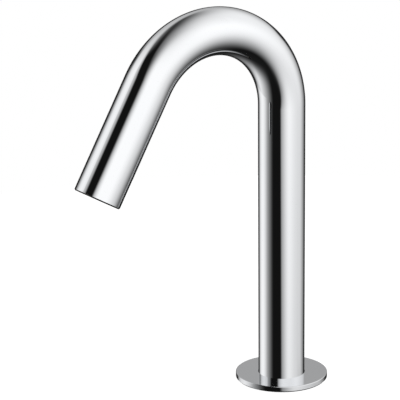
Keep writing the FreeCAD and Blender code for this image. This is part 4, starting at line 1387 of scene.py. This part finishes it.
@dataclass
class DeckFixing:
    """The threaded shank, and what clamps it to the deck from below."""

    shop: Workshop
    pitch: float
    crest: float = 11.0
    root: float = 10.08
    lead_in_crest: float = 10.75
    lead_in_end: tuple[float, float] = (-38.3, 0.4)  # start and length
    run_out: tuple[float, float] = (-3.2, 2.0)  # start and length
    foot: float = -50.0
    thread_top: float = -0.05
    spigot_radius: float = 11.75
    spigot_top: float = 20.2
    bore: float = 8.6
    chamfer: float = 0.8
    plug_bore: tuple[float, float] = (9.2, -43.0)  # radius and top
    circlip_groove: tuple[float, float, float] = (9.7, -49.0, -48.0)  # radius, foot and top
    washer_radius: float = 20.0
    washer_bore: float = 11.3
    washer_heights: tuple[float, float, float] = (-20.0, -23.0, -24.5)
    nut_width: float = 30.0
    nut_height: float = 7.0
    nut_gaps: tuple[float, float, float] = (0.12, 0.06, 0.05)  # over the root, the crest and the mouth
    sharp_over: float = 25.0
    spots = round_spots(Sides.PLAIN)

    @property
    def thread(self) -> Thread:
        """The M22 thread, whose phase the shank and the nut share."""
        return Thread(self.pitch, self.foot)

    @property
    def nut_top(self) -> float:
        """The height of the nut's upper face, under the lower washer."""
        return self.washer_heights[2]

    @property
    def nut_mouth(self) -> float:
        """The radius of the nut's countersink at its faces."""
        return self.crest + self.nut_gaps[2] + self.chamfer

    def shank_radius(self, height: float, depth: float) -> float:
        """The shank's radius on its thread: lowered crests at the foot, and a run-out under the flange.

        Args:
            height: The height on the shank.
            depth: How far from root, 0, to crest, 1, the thread's form stands there.

        Returns:
            The radius.
        """
        lowered = self.lead_in_crest
        crest = lowered + (self.crest - lowered) * ramp(height, *self.lead_in_end)
        root = self.root + (crest - self.root) * ramp(height, *self.run_out)
        return min(root + (crest - root) * depth, lowered - self.chamfer + height - self.foot)

    def build_shank(self) -> None:
        """Cuts the shank's thread and turns the rest of it."""
        foot, seam, edge = self.foot, self.thread_top, self.chamfer
        thread = self.thread.wound("real_threaded_shank", foot, seam, self.spots, self.shank_radius)
        spigot, top, bore = self.spigot_radius, self.spigot_top, self.bore
        plug, plug_top = self.plug_bore
        groove, groove_low, groove_high = self.circlip_groove
        rest = [(self.crest, seam), (spigot, seam), (spigot, top - edge), (spigot - edge, top), (bore, top)]
        rest += [(bore, plug_top), (plug, plug_top), (plug, groove_high), (groove, groove_high)]
        rest += [(groove, groove_low), (plug, groove_low), (plug, foot), (self.lead_in_crest - edge, foot)]
        shank = joined(thread, [shell("rest", rest, self.spots, Ends.OPEN)])
        self.shop.stand_for("threaded_shank", shank, sharp_over=self.sharp_over)

    def nut_radius(self, height: float, depth: float) -> float:
        """The nut's bore on its thread, opened at both faces by a countersink.

        Args:
            height: The height in the nut.
            depth: How far from root, 0, to crest, 1, the thread's form stands there.

        Returns:
            The radius.
        """
        root_gap, crest_gap, _ = self.nut_gaps
        countersink = self.nut_mouth - min(height - self.nut_top + self.nut_height, self.nut_top - height)
        root = self.root + root_gap
        return max(root + (self.crest + crest_gap - root) * depth, countersink)

    def build_nut(self) -> None:
        """Makes the hexagon nut, with its corners turned off and its thread in step with the shank's."""
        top, half, mouth = self.nut_top, self.nut_width / 2, self.nut_mouth
        foot = top - self.nut_height

        def flat(spot: Spot) -> float:
            """The hexagon's radius in a direction."""
            return half / math.cos(spot.angle % (TAU / 6) - TAU / 12)

        def slope(spot: Spot) -> float:
            """How far the turned-off corner comes down in a direction."""
            return (flat(spot) - half) * math.tan(math.radians(30))

        outside: list[Row] = [(mouth, foot), (half, foot), (flat, lambda spot: foot + slope(spot))]
        outside += [(flat, lambda spot: top - slope(spot)), (half, top), (mouth, top)]
        thread = flipped(self.thread.wound("real_lock_nut", foot, top, self.spots, self.nut_radius))
        nut = joined(thread, [shell("outside", outside, self.spots, Ends.OPEN)])
        self.shop.stand_for("lock_nut", nut, sharp_over=self.sharp_over)

    def build_washers(self) -> None:
        """Makes the soft washer and the pressed steel one."""
        high, middle, low = self.washer_heights
        for node, foot, top, ease in (
            ("deck_rubber_washer", middle, high, 0.45),
            ("deck_steel_washer", low, middle, 0.22),
        ):
            corners = band(self.washer_bore, self.washer_radius, foot, top)
            self.shop.turn_piece(node, corners, ease, sides=Sides.WIDE)

    def build(self) -> None:
        """Makes the sub-assembly."""
        self.build_shank()
        self.build_nut()
        self.build_washers()


@dataclass
class ShankFoot:
    """The plug in the shank's foot, with the water stem, the lead's socket and their clips."""

    shop: Workshop
    stem_y: float = -3.4
    socket_y: float = 5.0
    foot: float = -48.0
    top: float = -43.0
    plug_radius: float = 9.1
    plug_ease: float = 0.2
    drill: tuple[float, float] = (-60.0, -30.0)  # from and to
    gap: float = 0.05
    stem_radius: float = 4.7625
    stem_foot: float = -66.0
    stem_chamfer: float = 0.6
    stem_neck: float = 4.0
    socket_radius: float = 2.8

    def build_stem(self) -> None:
        """Turns the push-fit stem, with its collar, its clip's groove, its barbs and its stepped bore."""
        outer, neck, edge = self.stem_radius, self.stem_neck, self.stem_chamfer
        wide_bore, bore, collar, groove, barb_foot, barb = 3.0, 1.7, 5.1, 3.4, 2.15, 2.5
        collar_foot, groove_top, shoulder = self.foot - 3.0, self.top + 0.85, self.top + 1.4
        first_barb, tooth, barbs_top = shoulder + 1.2, 3.4, shoulder + 11.4
        corners = [(wide_bore, self.stem_foot), (outer - edge, self.stem_foot)]
        corners += [(outer, self.stem_foot + edge), (outer, collar_foot), (collar, collar_foot)]
        corners += [(collar, self.foot - self.gap), (neck, self.foot - self.gap)]
        corners += [(neck, self.top), (groove, self.top), (groove, groove_top)]
        corners += [(neck, groove_top), (neck, shoulder), (barb_foot, shoulder)]
        for index in range(3):
            height = first_barb + index * tooth
            corners += [(barb_foot, height), (barb, height)]
        corners += [(barb_foot, barbs_top), (bore, barbs_top)]
        corners += [(bore, self.foot + 1.3), (wide_bore, collar_foot)]
        self.shop.turn_piece("inlet_stem", corners, ease=0.1, place=Place(self.stem_y))

    def build_socket(self) -> None:
        """Moulds the jack socket with its collar and the sleeve for the lead."""
        outer, collar, bore, sleeve, lead = self.socket_radius, 3.3, 1.8, 2.15, 1.55
        collar_top, body_top, bore_top = self.top + 1.0, self.top + 14.0, self.foot + 15.0
        sleeve_top = body_top + 3.0
        corners = [(bore, self.foot), (outer, self.foot), (outer, self.top), (collar, self.top)]
        corners += [(collar, collar_top), (outer, collar_top), (outer, body_top), (sleeve, sleeve_top)]
        corners += [(lead, sleeve_top), (lead, body_top), (0.0, body_top), (0.0, bore_top), (bore, bore_top)]
        self.shop.turn_piece("lead_socket", corners, place=Place(self.socket_y), sides=Sides.SMALL)

    def build_plug(self) -> None:
        """Moulds the plug with its two holes."""
        corners = band(0.0, self.plug_radius, self.foot, self.top - self.gap)
        plug = turned("real_shank_end_plug", eased(corners, self.plug_ease))
        drills = []
        for radius, y in ((self.stem_neck, self.stem_y), (self.socket_radius, self.socket_y)):
            drill = turned("drill", band(0, radius + self.gap, *self.drill), Sides.SMALL)
            drills.append(self.shop.neck.put(drill, Place(y)))
        self.shop.stand_for("shank_end_plug", cut(plug, drills))

    def build(self) -> None:
        """Makes the sub-assembly."""
        self.build_stem()
        self.build_socket()
        self.build_plug()
        self.shop.keep("end_plug_circlip", "stem_retaining_clip")


@dataclass
class WaterLine:
    """The hose inside the tube with its ferrules, the nipple in the outlet, and the sensor's lead."""

    shop: Workshop
    stem_y: float = -3.4
    outlet_y: float = 3.4
    ferrule_foot: float = -41.5
    ferrule_foot_at_tip: float = 31.1
    ferrule_radii: tuple[float, float] = (4.05, 4.65)
    ferrule_length: float = 10.0
    crimps: tuple[float, float] = (2.5, 7.5)
    crimp_depth: float = 0.3
    crimp_reach: float = 1.3

    def build_ferrule(self, node: str, foot: float, place: Place, finish: Finish) -> None:
        """Makes one crimped sleeve.

        Args:
            node: The CAD node that it stands for.
            foot: The height of its foot.
            place: Where it stands.
            finish: Its finish.
        """
        inner, outer = self.ferrule_radii
        top, steps = foot + self.ferrule_length, 4
        corners = [(inner, foot), (outer, foot)]
        for middle in self.crimps:
            for step in range(-steps, steps + 1):
                dip = self.crimp_depth * math.cos(step / steps * TAU / 4) ** 2
                corners.append((outer - dip, foot + middle + self.crimp_reach * step / steps))
        corners += [(outer, top), (inner, top)]
        self.shop.turn_piece(node, corners, ease=0.08, place=place, finish=finish)

    def build(self) -> None:
        """Makes the sub-assembly."""
        tip_axis = tuple(c / MM for c in self.shop.neck.tip_frame() @ Vector((0, self.outlet_y * MM, 0)))
        at_tip = Place(self.outlet_y, at_tip=True)
        steel_at_tip = replace(STEEL, name="stainless_steel_at_tip", lay=Lay.SPOUT, centre=tip_axis)
        brass_at_tip = replace(BRASS, name="brass_at_tip", lay=Lay.SPOUT, centre=tip_axis)
        self.build_ferrule("lower_hose_ferrule", self.ferrule_foot, Place(self.stem_y), STEEL)
        self.build_ferrule("upper_hose_ferrule", self.ferrule_foot_at_tip, at_tip, steel_at_tip)
        self.shop.keep("hose_nipple", finish=brass_at_tip)
        self.shop.cord_ring("nipple_o_ring", middle=3.125, section=0.9, heights=[21.8], place=at_tip)
        self.shop.keep("water_hose", "sensor_lead")


@dataclass
class Outlet:
    """The moulding in the tube's tip, and the cartridge that screws into it."""

    shop: Workshop
    pitch: float
    axis_y: float = 3.4
    sensor_y: float = -6.9
    body_radius: float = 11.65
    groove_radius: float = 10.6
    half_groove: float = 0.7
    recess: float = 0.8
    edge: float = 0.3
    body_top: float = 28.0
    ring_heights: tuple[float, float] = (13.0, 24.0)
    grub_radius: float = 1.55
    grub_depth: float = 3.3
    grub_height: float = 18.5
    grub_drill: float = 9.0
    cartridge_hole: Corner = (7.05, 10.0)  # radius and top
    water_bore: Corner = (5.0, 12.2)  # radius and top
    throat: tuple[float, float, float] = (2.6, 16.2, 20.1)  # radius, foot and top
    nipple_hole: float = 3.65
    pocket: tuple[float, float] = (10.0, 5.0)
    aperture: tuple[float, float] = (8.4, 3.4)
    web: tuple[float, float] = (2.8, 4.2)  # foot and top, between the window's seat and the sensor's
    aperture_cut: tuple[float, float] = (2.0, 5.0)  # through the web
    cut_below: float = -1.0
    cartridge_radius: float = 7.0
    cartridge_root: float = 6.45
    cartridge_face: float = 1.0
    cartridge_top: float = 9.0
    gasket: tuple[float, float, float] = (4.75, 6.95, 1.0)  # bore, radius and thickness
    collar_top: float = 2.0
    thread_in: float = 0.6
    lip_radius: float = 5.4
    lip_thickness: float = 0.8
    shell_bore: float = 6.0
    notches: int = 4
    notch_width: float = 2.0
    notch_depth: float = 0.7
    notch_reach: float = 0.5
    face_ease: float = 0.15
    screen_radius: float = 5.88
    screen_height: float = 4.0
    screen_pitch: float = 0.75
    wire_radius: float = 0.1
    wires: int = 15
    wire_steps: int = 64

    @property
    def place(self) -> Place:
        """The cartridge's axis in the tip's frame."""
        return Place(self.axis_y, at_tip=True)

    def build_body(self) -> None:
        """Moulds the outlet body: a round bar with the waterway, the sensor's pocket and the grooves."""
        r, groove, half, high = self.body_radius, self.groove_radius, self.half_groove, self.body_top
        corners = [(0.0, self.recess), (r - self.edge, self.recess), (r, self.recess + self.edge)]
        for height in self.ring_heights:
            low, up = height - half, height + half
            corners += [(r, low), (groove, low), (groove, up), (r, up)]
        body = turned("real_outlet_body", corners + [(r, high), (0.0, high)], Sides.BAR)
        below, above = self.cut_below, high - self.cut_below
        hole, hole_top = self.cartridge_hole
        throat, throat_foot, throat_top = self.throat
        waterway = [(0.0, below), (hole, below), (hole, hole_top), (self.water_bore[0], hole_top)]
        waterway += [self.water_bore, (throat, throat_foot), (throat, throat_top)]
        waterway += [(self.nipple_hole, throat_top), (self.nipple_hole, above), (0.0, above)]
        grub = turned("grub", band(0, self.grub_radius, 0, self.grub_drill), Sides.SCREW)
        to_grub = Matrix.Translation((0, (r - self.grub_depth) * MM, self.grub_height * MM))
        grub.data.transform(to_grub @ SIDEWAYS)
        pocket, aperture = obround(*self.pocket, self.sensor_y), obround(*self.aperture, self.sensor_y)
        tools = [
            self.shop.neck.put(turned("bore", waterway), Place(self.axis_y)),
            grub,
            stack("window_seat", [pocket] * 2, (below, self.web[0])),
            stack("aperture", [aperture] * 2, self.aperture_cut),
            stack("sensor_seat", [pocket] * 2, (self.web[1], above)),
        ]
        self.shop.stand_for("outlet_body", cut(body, tools), Place(at_tip=True))

    def thread_radius(self, height: float, depth: float) -> float:
        """The cartridge's radius on its thread: a plain collar below it and a chamfer at the top.

        Args:
            height: The height on the cartridge.
            depth: How far from root, 0, to crest, 1, the thread's form stands there.

        Returns:
            The radius.
        """
        crest, low = self.cartridge_radius, self.cartridge_root
        root = crest + (low - crest) * ramp(height, self.collar_top, self.thread_in)
        return min(root + (crest - root) * depth, low + self.cartridge_top - height)

    def build_cartridge_shell(self) -> None:
        """Makes the threaded shell with its key notches."""
        r, face, top, ease = self.cartridge_radius, self.cartridge_face, self.cartridge_top, self.face_ease
        notch_radius, lip_top = r - self.notch_reach, face + self.lip_thickness
        half = math.asin(self.notch_width / 2 / (notch_radius + self.notch_reach / 2))
        spots = notched_spots(Sides.PLAIN, self.notches, TAU / 8, half)

        def rim(spot: Spot) -> float:
            """The radius of the face's edge in a direction."""
            return notch_radius if spot.notched else r - ease

        def rim_foot(spot: Spot) -> float:
            """The height of the face's edge in a direction."""
            return face + self.notch_depth * spot.notched

        def side_foot(spot: Spot) -> float:
            """The height that the collar's side starts at in a direction."""
            return face + (self.notch_depth if spot.notched else ease)

        collar = self.collar_top
        form = Thread(self.pitch, face)
        thread = form.wound("real_aerator_housing", collar, top, spots, self.thread_radius)
        rest: list[Row] = [(self.cartridge_root, top), (self.shell_bore, top), (self.shell_bore, lip_top)]
        rest += [(self.lip_radius, lip_top), (self.lip_radius, face), (notch_radius, face)]
        rest += [(rim, rim_foot), (r, side_foot), (r, collar)]
        housing = joined(thread, [shell("rest", rest, spots, Ends.OPEN)])
        self.shop.stand_for("aerator_housing", housing, self.place, sharp_over=25.0)

    def weaver(self) -> Pattern:
        """Weaves a round screen: wires both ways, each over and under the others.

        Returns:
            The tree that does so.
        """
        tree = Pattern("woven_screen")
        radius, pitch, wire = tree.size("Radius"), tree.size("Pitch"), tree.size("Wire")
        count, steps = tree.size("Wires", "Int"), tree.size("Steps", "Int")
        first = tree.vector(0.0, 0 - pitch * (count - 1) / 2, 0.0)
        starts = {"Count": count, "Start Location": first, "Offset": tree.vector(0.0, pitch, 0.0)}
        line = tree.add("GeometryNodeMeshLine", starts, mode="OFFSET")
        tips = {"Start": (-1.0, 0.0, 0.0), "End": (1.0, 0.0, 0.0)}
        straight = tree.add("GeometryNodeCurvePrimitiveLine", tips)
        straight = tree.add("GeometryNodeResampleCurve", {"Curve": straight, "Count": steps}, mode="COUNT")
        aside = tree.part(tree.add("GeometryNodeInputPosition"), "Y")
        half = (radius * radius - aside * aside).maths("SQRT")
        values = {"Points": line, "Instance": straight, "Scale": tree.vector(half, 1.0, 1.0)}
        wires = tree.add("GeometryNodeInstanceOnPoints", values)
        wires = tree.add("GeometryNodeRealizeInstances", {0: wires})
        place = tree.add("GeometryNodeInputPosition")
        x, y = tree.part(place, "X"), tree.part(place, "Y")
        wave = (x * (TAU / 2) / pitch).cosine() * (y * (TAU / 2) / pitch).cosine() * wire
        values = {"Geometry": wires, "Offset": tree.vector(0.0, 0.0, wave)}
        wires = tree.add("GeometryNodeSetPosition", values)
        crossing = tree.add("GeometryNodeTransform", {"Geometry": wires, "Rotation": (TAU / 2, 0.0, TAU / 4)})
        both = tree.add("GeometryNodeJoinGeometry", {"Geometry": [wires, crossing]})
        circle = tree.add("GeometryNodeCurvePrimitiveCircle", {"Resolution": 6, "Radius": wire})
        drawn = {"Curve": both, "Profile Curve": circle, "Fill Caps": True}
        tree.finish(tree.add("GeometryNodeCurveToMesh", drawn))
        return tree

    def build_screen(self) -> None:
        """Weaves the steel screen that lies on the honeycomb."""
        lengths = {"Radius": self.screen_radius, "Pitch": self.screen_pitch, "Wire": self.wire_radius}
        values = {name: length * MM for name, length in lengths.items()}
        values.update(Wires=self.wires, Steps=self.wire_steps, Finish=STEEL.material())
        loom = new_object("loom", bpy.data.meshes.new("loom"))
        screen = self.weaver().grow("real_aerator_screen", loom, **values)
        screen.data.transform(Matrix.Translation((0, 0, (self.cartridge_face + self.screen_height) * MM)))
        self.shop.stand_for("aerator_screen", screen, self.place, sharp_over=50.0)

    def build(self) -> None:
        """Makes the sub-assembly."""
        self.build_body()
        self.build_cartridge_shell()
        self.build_screen()
        rings = self.shop.cord_ring
        rings("outlet_o_rings", middle=11.2, section=1.1, heights=self.ring_heights, place=Place(at_tip=True))
        rings("regulator_o_ring", middle=2.9, section=0.75, heights=[8.55], place=self.place)
        inner, outer, thickness = self.gasket
        gasket = band(inner, outer, self.cartridge_top, self.cartridge_top + thickness)
        self.shop.turn_piece("aerator_gasket", gasket, ease=0.2, place=self.place)
        self.shop.keep("outlet_grub_screw", "aerator_grid", "flow_regulator")


@dataclass
class Sensor:
    """The infra-red sensor beside the cartridge."""

    shop: Workshop
    centre_y: float = -6.9
    window: tuple[float, float] = (9.9, 4.9)
    window_face: float = 0.95
    window_top: float = 2.5
    rounding: tuple[Corner, ...] = ((0.32, 0.0), (0.2, 0.02), (0.08, 0.09), (0.0, 0.25))

    def build_window(self) -> None:
        """Moulds the dark window, with its outer edge rounded over."""
        width, depth = self.window
        insets = [inset for inset, _ in self.rounding] + [0.0]
        heights = [self.window_face + rise for _, rise in self.rounding] + [self.window_top]
        outlines = [obround(width - 2 * inset, depth - 2 * inset, self.centre_y) for inset in insets]
        window = joined(stack("real_sensor_window", outlines, heights))
        self.shop.stand_for("sensor_window", window, Place(at_tip=True))

    def build(self) -> None:
        """Makes the sub-assembly."""
        self.build_window()
        self.shop.keep("sensor_window_seal", "sensor_case", "ir_emitter", "ir_receiver")
        self.shop.keep("sensor_board", "sensor_chip", "sensor_back_cap", "sensor_lead_boot")


def main() -> None:
    """Builds the scene."""
    logging.basicConfig(level=logging.INFO, format="%(name)s: %(message)s")
    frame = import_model()
    joints = {joint["name"]: joint for joint in frame["joints"]}
    Axes.spout = -Vector(joints["aerator_turn"]["axis"]).normalized()
    pitches = {c["joint"]: TAU / c["ratio"] / MM for c in frame["record"]["behaviour"]["couplings"]}

    studio = Studio()
    studio.set_camera()
    studio.light()
    studio.lay_deck()

    shop = Workshop(frame, Gooseneck())
    Spout(shop).build()
    DeckFixing(shop, pitches["nut_turn"]).build()
    ShankFoot(shop).build()
    WaterLine(shop).build()
    Outlet(shop, pitches["aerator_turn"]).build()
    Sensor(shop).build()


if __name__ == "__main__":
    main()
